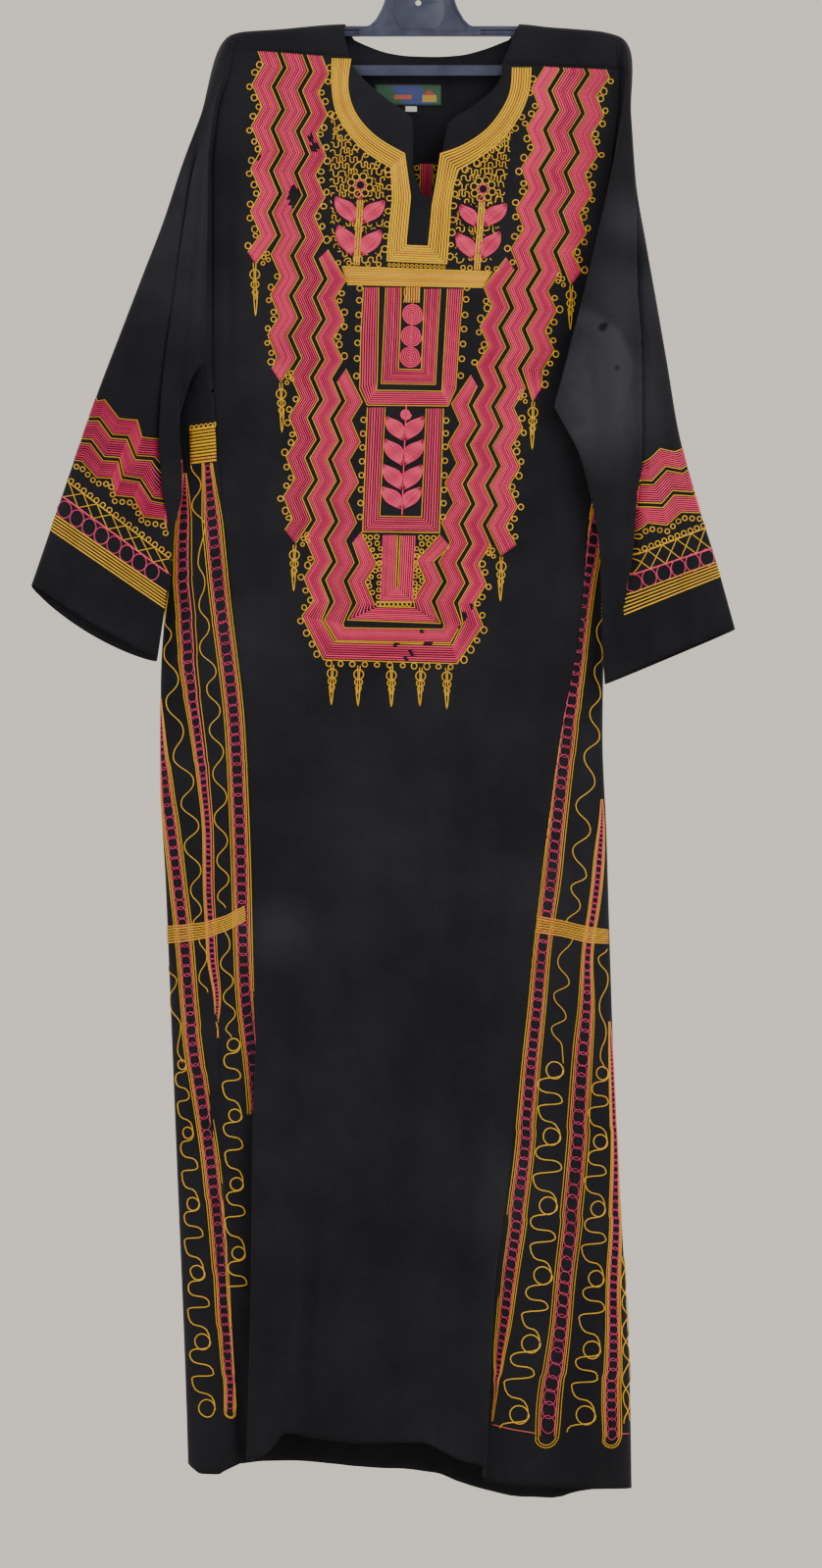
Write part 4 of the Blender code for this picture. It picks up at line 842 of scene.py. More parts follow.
# The gaps between the bands: distance from the dress's middle line as pairs of (drop, distance).
GAPS = {
    "a_out": [(75, 180), (160, 174.5), (250, 168), (270, 165)],
    "a_b": [(75, 155), (250, 146.5), (300, 144)],
    "b_c": [(75, 128), (250, 122), (400, 117)],
    "c_d": [(75, 107), (285, 96.5), (400, 93), (560, 92), (628, 89)],
    "d_e": [(285, 73), (390, 70.5), (575, 68.5), (620, 68.5)],
    "e_f": [(410, 48), (550, 45.5), (600, 45.5)],
    "f_in": [(573, 23), (620, 22)],
}
Thread = namedtuple("Thread", "route width tone")


def dress_middle(drop):
    return 441.8 - 0.0655 * drop


def between_drops(route, start, end):
    return route[(route[:, 1] > start) & (route[:, 1] < end)]


def between(first, last, share):
    """Points between two, at a share of the way from the first or at a column of shares."""
    return np.asarray(first, dtype=float)[None] * (1 - share) + np.asarray(last, dtype=float)[None] * share


def stops(count, start=0.0, end=1.0):
    return np.linspace(start, end, count)[:, None]


def zigzag_corners(side, outer, inner, share, start, end):
    """Corners of one thread of a band between two drops: on both sides the band swings out and in by turns, and
    the corners step down a little from thread to thread."""
    if side == "left":
        out = np.concatenate([85 + 43.2 * np.arange(-1, 5), 257.8 + 40.9 * np.arange(1, 11)])
    else:
        out = 77.3 + 40.3 * np.arange(-1, 16)
    sign = -1.0 if side == "left" else 1.0
    inwards = (out[:-1] + out[1:]) / 2 + (2.0 if side == "left" else 0.0)
    drop = np.concatenate([out, inwards])
    swing = np.repeat([sign, -sign], [len(out), len(inwards)]) * ZIGZAG
    order = np.argsort(drop)
    drop, swing = drop[order], swing[order]

    def away(at):
        far = np.interp(at, *np.array(GAPS[outer]).T) - BAND_INSET
        near = np.interp(at, *np.array(GAPS[inner]).T) + BAND_INSET
        return far + (near - far) * share

    near_top = np.interp(drop, (75, 260), (1, 0))
    drop = drop - sign * (0.06 + 0.08 * near_top) * (175 - away(drop))
    corners = np.stack([dress_middle(drop) + 2.5 * near_top + sign * away(drop) + swing, drop], axis=1)
    return between_drops(corners, start, end)


def from_seam(corners):
    """A line cut straight at the shoulder seam."""
    above = np.nonzero(corners[:, 1] > smooth_through(SHOULDER_SEAM, corners[:, 0]) + 2)[0][0]
    first, last = corners[above - 1], corners[above]
    seam_drop = smooth_through(SHOULDER_SEAM, (first[0] + last[0]) / 2) + 1.0
    return np.concatenate([between(first, last, (seam_drop - first[1]) / (last[1] - first[1])), corners[above:]])


# a hanging band: its gaps, the drop of its last full corner, and its slanting end from the outer to the inner edge
HangingBand = namedtuple("HangingBand", "side outer inner last_drop end_outer end_inner")
HANGING_BANDS = [
    HangingBand("left", "a_out", "a_b", 245, (252.6, 257.2), (260.7, 269.3)),
    HangingBand("left", "a_b", "b_c", 370, (277.3, 376.6), (285.9, 390.4)),
    HangingBand("left", "b_c", "c_d", 535, (290.5, 541.0), (301.4, 554.7)),
    HangingBand("right", "a_out", "a_b", 262, (593.0, 277.0), (582.1, 290.9)),
    HangingBand("right", "a_b", "b_c", 383, (551.8, 395.8), (543.3, 409.7)),
    HangingBand("right", "b_c", "c_d", 542, (526.0, 556.0), (511.0, 567.0)),
]
# a band that goes round in a U: its slanting starts at the left and right, and its corners below from left to
# right, each as (outer edge, inner edge)
RoundBand = namedtuple("RoundBand", "outer inner first_drop left_start right_start below")
ROUND_BANDS = [
    RoundBand("c_d", "d_e", 279, ((325.5, 263.5), (334.1, 254.9)), ((524.0, 275.0), (516.1, 263.0)),
        [((308.0, 628.4), (328.0, 632.4)), ((330.0, 673.0), (341.6, 655.0)), ((466.0, 677.0), (461.4, 658.0)),
        ((492.0, 638.0), (472.0, 636.4))]),
    RoundBand("d_e", "e_f", 400, ((343.9, 389.3), (352.5, 376.6)), ((486.4, 393.9), (480.3, 383.0)),
        [((330.8, 632.4), (349.6, 636.0)), ((343.6, 653.8), (351.0, 640.5)), ((459.0, 656.0), (451.5, 642.0)),
        ((470.0, 636.0), (453.0, 637.8))]),
    RoundBand("e_f", "f_in", 565, ((359.6, 553.4), (368.3, 542.7)), ((458.7, 557.4), (448.6, 545.4)),
        [((354.3, 632.4), (385.8, 619.0)), ((449.0, 636.0), (423.0, 620.0))]),
]


def edge_line(pairs, share):
    """A line whose corners are each a share of the way from the first to the last of their pair."""
    return np.concatenate([between(first, last, share) for first, last in pairs])


def band_line(band, share):
    """One thread of a band, from its outer edge at 0 to its inner edge at 1."""
    if isinstance(band, HangingBand):
        corners = zigzag_corners(band.side, band.outer, band.inner, share, 0, band.last_drop)
        return np.concatenate([from_seam(corners), between(band.end_outer, band.end_inner, share)])
    down = zigzag_corners("left", band.outer, band.inner, share, band.first_drop, 622)
    up = zigzag_corners("right", band.outer, band.inner, share, band.first_drop - 4, 626)[::-1]
    return np.concatenate([between(*band.left_start, share), down, edge_line(band.below, share), up,
                           between(*band.right_start, share)])


def resampled(route, longest):
    """The same line with points no further apart than the longest step, and all its corners kept."""
    route = np.asarray(route, dtype=float)
    spans = np.linalg.norm(np.diff(route, axis=0), axis=1)
    route = np.concatenate([route[:1], route[1:][spans > 0.05]])
    spans = spans[spans > 0.05]
    counts = np.maximum(np.ceil(spans / longest).astype(int), 1)
    cell = np.repeat(np.arange(len(spans)), counts)
    part = (np.arange(counts.sum()) - np.repeat(np.cumsum(counts) - counts, counts)) / np.repeat(counts, counts)
    return np.concatenate([route[cell] + (route[cell + 1] - route[cell]) * part[:, None], route[-1:]])


def chain_stitch(name, deep, bright, rough):
    """Shiny twisted thread in chain stitch: the loops are V-shaped waves along the thread as bump and as darker
    joints, the tone differs a little from thread to thread as dye and, on the sleeves' rows, as painted shade and
    light, and slow noise fades it."""
    made = Finish(name, {"Roughness": rough, "Specular IOR Level": 0.35})
    place = made.node("UVMap", {}, uv_map="stitch")
    along, beside = (made.node("SeparateXYZ", {"Vector": place}, axis) for axis in "XY")
    slanted = made.maths("MULTIPLY_ADD", made.maths("ABSOLUTE", beside), 0.35, along)
    loops = made.maths("COSINE", made.maths("MULTIPLY", slanted, 2 * math.pi))
    loops = made.maths("MULTIPLY_ADD", loops, 0.5, 0.5)
    tone = made.maths("MULTIPLY", made.node("Attribute", {}, "Fac", attribute_name="tone"), 0.55)
    lightness = made.maths("ADD", tone, made.maths("MULTIPLY", made.noise(26.0, 4.0), 0.6))
    dye = made.ramp(lightness, (0.15, (*deep, 1.0)), (0.75, (*bright, 1.0)))
    joint = made.maths("MULTIPLY", made.maths("SUBTRACT", 1.0, loops), 0.4)
    made.shade({"Base Color": made.painted(dye, (0.5, 0.42, 0.42, 1.0), joint, blend_type="MULTIPLY"),
                "Normal": made.bump(loops, 0.7, 0.0004)})
    return made.material


THREAD_HEIGHT = 0.75
THREAD_SUNK = 0.2
THREAD_STEP = 3.6
# the section of a thread as (share of the half width, height), round from left to right over the top
THREAD_SECTION = np.array([(-1.0, -THREAD_SUNK), (-0.55, THREAD_HEIGHT), (0.55, THREAD_HEIGHT), (1.0, -THREAD_SUNK)])


def sew(name, threads, place, finish, slot_name, step=THREAD_STEP, worn=()):
    """Lay threads on the cloth as one mesh. place gives the points and outward normals of flat places; the
    section goes along each thread with its top along the normal, mitred at corners. worn is a list of ellipses
    (across, drop, half width, half height) in which the thread is gone."""
    routes = [resampled(thread.route, step) for thread in threads]
    closed = np.array([np.allclose(r[0], r[-1]) and len(r) > 3 for r in routes])
    routes = [r[:-1] if c else r for r, c in zip(routes, closed)]
    counts = np.array([len(r) for r in routes])
    owner = np.repeat(np.arange(len(routes)), counts)
    first = np.cumsum(counts) - counts
    last = first + counts - 1
    flat = np.concatenate(routes)
    every = np.arange(len(flat))
    following, leading = every + 1, every - 1
    following[last], leading[first] = np.where(closed, first, last), np.where(closed, last, first)
    points, normals = place(flat)
    ahead = points[following] - points
    length = np.linalg.norm(ahead, axis=1)
    ahead, behind = unit(ahead), unit(points - points[leading])
    ahead[last[~closed]] = behind[last[~closed]]
    behind[first[~closed]] = ahead[first[~closed]]
    tangent = unit(ahead + behind)
    mitre = 1 / np.clip(np.sum(tangent * ahead, axis=1), 0.7, 1.0)
    beside = unit(np.cross(normals, tangent))
    half = np.array([thread.width for thread in threads])[owner] / 2 * mitre
    wide, high = THREAD_SECTION.T
    vertices = (points[:, None] + beside[:, None] * (half[:, None] * wide)[..., None]
                + normals[:, None] * high[:, None]).reshape(-1, 3)
    steps = np.nonzero(following != every)[0]
    x, y = (flat[steps] + flat[following[steps]]).T / 2
    ragged = 1 + 0.35 * np.sin(1.9 * x + 0.8 * y) * np.cos(0.7 * x - 2.3 * y)
    kept = np.ones(len(steps), dtype=bool)
    for across, drop, half_width, half_height in worn:
        kept &= ((x - across) / half_width) ** 2 + ((y - drop) / half_height) ** 2 > ragged
    steps = steps[kept]
    goes_to = following[steps]
    corners = np.arange(4)
    after = (corners + 1) % 4
    here, there = steps[:, None] * 4, goes_to[:, None] * 4
    sides = np.stack([here + corners, there + corners, there + after, here + after], axis=-1).reshape(-1, 4)
    starts, ends = np.setdiff1d(steps, goes_to)[:, None] * 4, np.setdiff1d(goes_to, steps)[:, None] * 4
    caps = np.concatenate([starts + corners, ends + corners[::-1]])
    begun = (np.cumsum(length) - length)[steps, None] / STITCH
    ended = begun + length[steps, None] / STITCH
    places = [(begun, wide), (ended, wide), (ended, wide[after]), (begun, wide[after])]
    places = np.stack([np.stack(np.broadcast_arrays(*place), axis=-1) for place in places], axis=2).reshape(-1, 2)
    places = np.concatenate([places, np.zeros((caps.size, 2))])
    used, quads = np.unique(np.concatenate([sides, caps]), return_inverse=True)
    mesh = mesh_of(name, vertices[used], quads.reshape(-1, 4).tolist(), "stitch", places)
    tones = np.array([thread.tone for thread in threads])[owner].repeat(4)[used]
    mesh.attributes.new("tone", "FLOAT", "POINT").data.foreach_set("value", tones.astype(np.float32))
    add_piece(mesh, finish, slot_name)


def outward(surface, flat, sign, nudge=0.5):
    """Points of a surface at flat places, and its normals there from differences over a small nudge."""
    first, second = flat[:, 0], flat[:, 1]
    one_way = surface(first + nudge, second) - surface(first - nudge, second)
    other_way = surface(first, second + nudge) - surface(first, second - nudge)
    return surface(first, second), unit(np.cross(one_way, other_way) * sign)


def on_front(flat):
    return outward(lambda across, drop: body_surface(front_angle(across, drop), drop), flat, -1.0)


def ring(across, drop, radius, points=10, tall=1.0):
    """A closed ring of thread, started where it touches what it is sewn beside."""
    turn = np.linspace(0, 2 * math.pi, points + 1)
    return np.stack([across + radius * np.cos(turn), drop + radius * tall * np.sin(turn)], axis=1)


def add_rings(threads, places, radius, width, tone, points=10):
    threads.extend(Thread(ring(across, drop, radius, points), width, tone) for across, drop in places)


stitch_random = np.random.default_rng(21)


def dyed(low=0.3, high=1.0):
    """A thread's tone at random."""
    return stitch_random.uniform(low, high)


def rings_beside(route, spacing, away, radius, width):
    """Rings at a spacing along a line, a distance to its left, with the uneven size and place of hand-guided
    work."""
    route = np.asarray(route, dtype=float)
    length = run_lengths(route)
    at = np.arange(spacing / 2, length[-1], spacing)
    at = at + stitch_random.uniform(-0.06, 0.06, len(at)) * spacing

    def on_line(at):
        return np.stack([np.interp(at, length, route[:, 0]), np.interp(at, length, route[:, 1])], axis=1)

    ahead = unit(on_line(at + 1.5) - on_line(at - 1.5))
    places = on_line(at) + np.stack([ahead[:, 1], -ahead[:, 0]], axis=1) * away
    sizes, talls = stitch_random.uniform(0.85, 1.2, len(at)), stitch_random.uniform(0.85, 1.15, len(at))
    return [Thread(ring(x, y, radius * size, tall=tall), width, dyed())
            for (x, y), size, tall in zip(places, sizes, talls)]


crimson_stitch = chain_stitch("crimson_stitch", (0.56, 0.013, 0.105), (1.0, 0.07, 0.2), 0.5)
yellow_stitch = chain_stitch("yellow_stitch", (0.62, 0.295, 0.007), (0.98, 0.595, 0.02), 0.5)
orange_stitch = chain_stitch("orange_stitch", (0.75, 0.25, 0.02), (0.95, 0.5, 0.07), 0.5)

band_crimson, band_yellow = [], []
for band in HANGING_BANDS + ROUND_BANDS:
    shares = np.linspace(0, 1, BAND_THREADS)
    lines = [band_line(band, share) for share in shares]
    gap = np.linalg.norm(lines[0][1] - lines[-1][1]) / (BAND_THREADS - 1)
    for share, route in zip(shares, lines):
        edge = share in (0.0, 1.0)
        (band_yellow if edge else band_crimson).append(
            Thread(route, 1.2 if edge else min(gap * 0.8, 2.0), dyed(0.1)))

# Tassels of stitch hang from the bands' points and from the bottom band: a double stem through three rings
# that get smaller, and a long narrow loop to a point, as (across, drop, length, lean).
TASSELS = [
    (259.5, 268, 54, 1), (286.5, 391, 50, 1), (300.5, 556, 47, -1), (582.5, 291, 45, -1), (543.5, 410, 48, -1),
    (511, 568, 45, -1), (339, 678, 41, -1), (366, 679, 41, -1), (399, 680, 41, 0), (429, 681, 39, -1),
    (455.5, 681, 42, 0),
]
TASSEL_THREAD = 1.3
for across, drop, long, lean in TASSELS:
    for share, radius, tall in ((0.22, 5.0, 1.0), (0.41, 4.0, 0.9), (0.56, 2.8, 1.0)):
        loop = ring(across + lean * share, drop + share * long, radius, 12, tall)
        band_yellow.append(Thread(loop, TASSEL_THREAD, 0.6))
    stem, point = np.linspace(0, 1, 9), np.linspace(0, 1, 7)
    narrow = 1.9 * (1 - point) ** 0.7
    half_loops = []
    for side in (-1, 1):
        spread = side * (1.0 + 0.35 * np.cos(stem * 9))
        line_down = np.stack([across + lean * stem * 0.7 + spread, drop + stem * long * 0.7], axis=1)
        band_yellow.append(Thread(line_down, TASSEL_THREAD, 0.5))
        half_loops.append(np.stack([across + lean + side * narrow, drop + long * (0.6 + 0.4 * point)], axis=1))
    band_yellow.append(Thread(np.concatenate([half_loops[0], half_loops[1][::-1]]), TASSEL_THREAD, 0.7))

# Small rings edge the bands, as (band, share, first drop, last drop, spacing, which side); rings on the line's
# left, looking along it, have a distance above 0.
RING_RADIUS, RING_AWAY = 2.8, 3.6
for band, share, start, end, spacing, way in [
        (0, 0.0, 56, 262, 12.5, -1), (1, 0.0, 276, 384, 12.0, -1), (2, 0.0, 402, 548, 12.5, -1),
        (3, 0.0, 74, 280, 12.5, 1), (4, 0.0, 300, 400, 12.0, 1), (5, 0.0, 420, 560, 12.5, 1),
        (2, 1.0, 62, 252, 13.0, 1), (5, 1.0, 76, 268, 13.0, -1)]:
    route = between_drops(resampled(band_line(HANGING_BANDS[band], share), 4.0), start, end)
    band_yellow += rings_beside(route, spacing, way * RING_AWAY, RING_RADIUS, 1.35)
# the same for the bands that go round: the spans of drops are those of the line's first half and of its second
for band, share, spans, spacing, way, size in [
        (0, 0.0, [(562, 700)], 12.5, -1, 1.0), (0, 1.0, [(292, 372), (300, 378)], 12.5, 1, 1.0),
        (2, 1.0, [(556, 612), (560, 612)], 7.0, 1, 0.75)]:
    whole = resampled(band_line(ROUND_BANDS[band], share), 4.0)
    half_way = len(whole) // 2
    halves = [whole] if len(spans) == 1 else [whole[:half_way], whole[half_way:]]
    for half, span in zip(halves, spans):
        route = between_drops(half, *span)
        band_yellow += rings_beside(route, spacing, way * RING_AWAY * size, RING_RADIUS * size, 1.3)
# three rings huddle beside each hanging band's point, and one stands above them
for across, drop, side in [(266.5, 262, 1), (291, 384, 1), (307, 549, 1), (576, 284, -1), (537, 403, -1),
                           (504.5, 561, -1)]:
    for right, down, radius in [(2.5, 0.5, 2.2), (7.0, 3.0, 2.0), (1.5, 6.5, 1.9), (6.0, -3.5, 2.1)]:
        add_rings(band_yellow, [(across + side * right, drop + down)], radius, 1.2, 0.7, 9)
# where the thread is worn away: ellipses as (across, drop, half width, half height)
WORN_CHEST = [(300, 201, 6.5, 10.5), (321, 150, 4.0, 5.0), (316, 141, 2.5, 5.0), (262, 160, 3.0, 4.0),
    (474, 628, 3.0, 4.0), (481, 618, 2.2, 3.0), (468, 640, 2.4, 2.2), (419, 667, 2.0, 4.5), (404, 657.5, 3.0, 1.4),
    (437, 656.5, 6.0, 1.2), (413, 672, 2.5, 1.6), (429, 645, 1.2, 2.0)]
sew("chest_crimson", band_crimson, on_front, crimson_stitch, "crimson_thread", worn=WORN_CHEST)
sew("chest_yellow", band_yellow, on_front, yellow_stitch, "yellow_thread", step=3.0, worn=WORN_CHEST[5:])

# ------------------------------------------------------------------ stitched neck border and yoke plants
# Seven yellow and salmon threads run round the neck, down both sides of the slit and across below it, and a
# short band crosses the chest under them. On each side a stem with two pairs of crimson leaves and a ring
# flower stands on that band, among wandering yellow thread.
# Points of the border as (outer edge, inner edge), down the left, across below the slit, and up the right.
SLIT_LEFT, SLIT_RIGHT = ((399, 171), (412, 157)), ((467, 173), (449.7, 157))
NECK_LEFT = [((339, 58.5), (357, 59)), ((338, 81), (353.5, 81)), ((341, 110), (355, 98)), ((349, 126), (361, 115)),
    ((363, 146), (373, 131)), ((379, 159), (389, 144.5)), SLIT_LEFT]
NECK_BELOW = [SLIT_LEFT, ((400.6, 202), (418, 201)), ((396, 247), (413.8, 244)), ((395, 266), (413.4, 251)),
    ((455, 269), (437, 252)), ((458, 228), (439.5, 228)), ((459, 208), (441, 210)), ((462, 189), (445, 188)),
    SLIT_RIGHT]
NECK_RIGHT = [SLIT_RIGHT, ((485, 163), (470, 150.5)), ((508, 146), (493, 136)), ((521, 131), (505, 123)),
    ((533, 111), (516, 106)), ((540, 90), (522, 90)), ((541, 68), (523, 68))]
CHEST_BAND = [((348.5, 272.5), (354, 290)), ((501.5, 278), (492, 293))]
BORDER_THREADS = 8
BORDER_ORANGE, CHEST_BAND_ORANGE = (4,), (2, 5)


def cut_corners(route):
    """Each corner replaced by four, by cutting it twice a quarter and three quarters along, which rounds a
    line; its ends stay."""
    route = np.asarray(route, dtype=float)
    for _ in range(2):
        quarter, three = route[:-1] * 0.75 + route[1:] * 0.25, route[:-1] * 0.25 + route[1:] * 0.75
        middle = np.stack([quarter, three], axis=1).reshape(-1, 2)
        route = np.concatenate([route[:1], middle[1:-1], route[-1:]])
    return route


neck_yellow, neck_orange, neck_crimson = [], [], []
for count, share in enumerate(np.linspace(0, 1, BORDER_THREADS)):
    route = np.concatenate([cut_corners(edge_line(NECK_LEFT, share))[:-1], edge_line(NECK_BELOW, share)[:-1],
                            cut_corners(edge_line(NECK_RIGHT, share))])
    (neck_orange if count in BORDER_ORANGE else neck_yellow).append(Thread(route, 2.3, dyed()))
for count, share in enumerate(np.linspace(0, 1, BORDER_THREADS)):
    threads = neck_orange if count in CHEST_BAND_ORANGE else neck_yellow
    threads.append(Thread(edge_line(CHEST_BAND, share), 2.5, dyed()))
add_rings(neck_yellow, [(x, 270.4 + (x - 397) * 0.045) for x in np.arange(397, 456, 4.6)], 1.5, 1.1, 0.6, 8)

# Yoke plant: its stem as (top, foot), flower, and the tips and meeting drops of its two pairs of leaves.
Plant = namedtuple("Plant", "stem_top stem_foot flower leaves")
PLANTS = [
    Plant((367.3, 204), (363.5, 271), (367.4, 189),
          [((342.5, 201), (391.5, 205), 227.5), ((344.8, 230), (388, 235), 261)]),
    Plant((491.3, 206), (486.2, 276), (492.5, 193),
          [((469.5, 209), (516, 208), 231), ((466, 238), (509, 236.5), 264)]),
]


def leaf_pair(tips, foot, gap, fatness, threads, lowest):
    """Two leaves of threads side by side, from their tips to a stem: each thread is bent, and the bends go
    evenly from one edge of the leaf to the other."""
    made = []
    for tip, side in zip(np.array(tips, dtype=float), (-1, 1)):
        along = np.array([foot[0] + side * gap, foot[1]], dtype=float) - tip
        across = np.array([-along[1], along[0]]) * np.sign(along[0])
        way = stops(9)
        upper = tip + along * way - across * fatness * 0.25 * np.sin(math.pi * way ** 1.2)
        lower = tip + along * way + across * fatness * 0.19 * np.sin(math.pi * way ** 0.8)
        made += [Thread(upper + (lower - upper) * share, 2.0, dyed(lowest)) for share in np.linspace(0, 1, threads)]
    return made


def wandering(route, swing, wave):
    """Vermicelli: a thread that swings from side to side along its way, by an uneven amount and pace."""
    route = resampled(cut_corners(route), WANDER_STEP)
    ahead = unit(np.gradient(route, axis=0))
    beside = np.stack([ahead[:, 1], -ahead[:, 0]], axis=1)
    length = np.arange(len(route)) * WANDER_STEP
    starts = stitch_random.uniform(0, 6, 3)
    uneven = 1.6 * np.sin(length / 5.3 + starts[0]) + 1.1 * np.sin(length / 3.1 + starts[1])
    pace = 2 * math.pi / wave * (length + uneven)
    side = np.sin(pace) + 0.35 * np.sin(pace / 2.7 + starts[2])
    return route + beside * (side * swing)[:, None] - ahead * (0.3 * np.sin(2 * pace) * swing)[:, None]


for plant in PLANTS:
    top, foot = np.array(plant.stem_top), np.array(plant.stem_foot)
    for shift, threads in ((-2.4, neck_orange), (0.0, neck_yellow), (2.4, neck_orange)):
        threads.append(Thread(np.stack([top + (shift, 0), foot + (shift, 0)]), 2.0, dyed()))
    for left_tip, right_tip, meeting in plant.leaves:
        stem_across = np.interp(meeting, (top[1], foot[1]), (top[0], foot[0]))
        neck_crimson += leaf_pair((left_tip, right_tip), (stem_across, meeting), 4.0, 1.12, 9, 0.2)
    across, drop = plant.flower
    add_rings(neck_crimson, [(across, drop)], 4.7, 1.5, 0.9, 12)
    add_rings(neck_crimson, [(across - 0.6, drop + 10.5)], 3.2, 1.4, 0.5, 12)
    petals = np.linspace(0, 2 * math.pi, 8, endpoint=False) + 0.3
    add_rings(neck_yellow, zip(across + 9.7 * np.cos(petals), drop + 9.2 * np.sin(petals)), 3.6, 1.35, 0.7, 11)

# The wandering thread fills the yoke in rows, between its edges as (drop, band's edge, border's edge), and leaves
# the flower and the leaves free.
WANDER_STEP = 0.8
YOKE_LEFT = [(112, 337, 337), (122, 336, 343), (140, 335, 355), (160, 334, 374), (172, 334, 395), (200, 334, 396),
    (230, 335, 394), (246, 334, 392), (268, 350, 392)]
YOKE_RIGHT = [(118, 519, 525), (130, 515, 525), (148, 500, 524), (165, 480, 521), (178, 468, 519), (200, 463, 517),
    (240, 461, 514), (255, 460, 512), (272, 461, 497)]
ROW_PITCH = 7.4
plant_clear = []
for plant in PLANTS:
    plant_clear += [(*plant.flower, 14.5, 13.5), (plant.flower[0] - 1, plant.flower[1] + 12, 6, 7)]
    for left_tip, right_tip, meeting in plant.leaves:
        middle = ((left_tip[0] + right_tip[0]) / 2, meeting)
        for tip in (left_tip, right_tip):
            plant_clear += [(tip[0] * 0.55 + middle[0] * 0.45, (tip[1] + meeting) / 2, 11.5, 13.0),
                            (tip[0], tip[1] + 2, 5, 6)]
vermicelli = []
for edges in (YOKE_LEFT, YOKE_RIGHT):
    edge_drop, *edge_across = np.array(edges, dtype=float).T
    for drop in np.arange(edge_drop[0] + 5, edge_drop[-1] - 2, ROW_PITCH):
        first, last = (np.interp(drop, edge_drop, edge) for edge in edge_across)
        middle = ((first + last) / 2, drop + stitch_random.uniform(-1.5, 1.5))
        row = [(first + 3, drop + 1), middle, (last - 3, drop)]
        vermicelli.append(Thread(wandering(row, 3.1, 8.6), 1.25, dyed(0.2, 0.9)))
sew("vermicelli_yellow", vermicelli, on_front, yellow_stitch, "yellow_thread", step=1.4, worn=plant_clear)
# rings along the yoke's edges
for pairs in (NECK_LEFT[2:], NECK_BELOW[:4], NECK_BELOW[4:], NECK_RIGHT[:5]):
    neck_yellow += rings_beside(edge_line(pairs, 0.0), 13.0, -3.4, 2.7, 1.3)
add_rings(neck_yellow, [(x, 268.2 + (x - 345) * 0.04) for x in (345, 356, 375, 386, 472, 479, 497, 506)], 2.3, 1.2,
          0.6)
sew("neck_yellow", neck_yellow, on_front, yellow_stitch, "yellow_thread", step=3.0)
sew("neck_orange", neck_orange, on_front, orange_stitch, "orange_thread")
sew("yoke_crimson", neck_crimson, on_front, crimson_stitch, "crimson_thread", step=2.6)

# ------------------------------------------------------------------ stitched boxes on the centre front
# Below the neck: a box of nested crimson U's round three spiral discs, a framed window with a leafy twig in it,
# and a narrow box at the foot.
# Each box's outermost and innermost line as lists of corners of equal length, with eight threads between them.
BOXES = [
    ([(370.6, 293.5), (368, 340), (366.8, 397), (374.6, 413.6), (456.6, 414.4), (464.5, 397), (468, 345),
        (472, 295)], [(386, 293.5), (385.3, 340), (384.4, 388), (383.8, 398.5), (450.5, 399.5), (451.2, 388),
        (453.6, 345), (456.4, 295)]),
    ([(393.4, 293.5), (391, 345), (388.7, 391.5), (443.8, 392.5), (446, 345), (449, 295)], [(409, 293.5),
        (407.5, 345), (406, 377), (429.6, 377.5), (431, 345), (433, 295)]),
    ([(374.6, 416), (369.8, 542.5), (447.8, 543.5), (451.9, 417)], [(392.6, 416), (387, 526.8), (429.8, 527.6),
        (434.6, 417)]),
    ([(391, 546), (388.2, 612), (419.6, 612.6), (423, 546.5)], [(405.4, 546), (403.2, 600), (405.6, 600),
        (408, 546.5)]),
]
BOX_THREADS = 8
box_crimson, box_yellow, box_orange = [], [], []
for outer, inner in BOXES:
    for share in np.linspace(0, 1, BOX_THREADS):
        edge = share == 1.0 or (share == 0.0 and outer is not BOXES[-1][0])
        (box_yellow if edge else box_crimson).append(
            Thread(edge_line(zip(outer, inner), share), 1.3 if edge else 1.75, dyed(0.1)))
for across in np.arange(414.8, 428.5, 2.5):
    box_orange.append(Thread([(across, 293), (across - 0.4, 309)], 2.1, dyed(0.2)))
box_yellow.append(Thread([(412.5, 294), (412, 300), (413, 304), (411.5, 309)], 1.4, 0.5))


def spiral(across, drop, first_radius, last_radius, turns, points):
    turn = np.linspace(0, 2 * math.pi * turns, points)
    radius = first_radius + (last_radius - first_radius) * turn / turn[-1]
    return np.stack([across + radius * np.cos(turn), drop + radius * np.sin(turn)], axis=1)


for disc in ((420.8, 320.6), (419.2, 342.8), (418.2, 364.2)):
    box_crimson.append(Thread(spiral(*disc, 11.0, 0.3, 5, 110), 1.9, dyed(0.5)))
box_crimson.append(Thread([(420.8, 309.5), (419.2, 343), (418, 375)], 1.5, 1.0))
box_crimson.append(Thread([(414.4, 412), (413.6, 428), (411.6, 474), (409.8, 526)], 1.6, 0.9))
box_crimson.append(Thread(spiral(413.6, 423, 5.6, 0.8, 3, 50), 1.9, 0.8))
for *tips, foot in (((394, 425.5), (431.3, 425.5), (411.9, 449)), ((392.3, 448.4), (431.3, 449), (411.2, 474.5)),
                    ((390.7, 474.2), (429.7, 474.8), (410.4, 499.3)), ((389.4, 497), (428.6, 497.4), (409.9, 519))):
    box_crimson += leaf_pair(tips, foot, 0.9, 1.1, 8, 0.3)
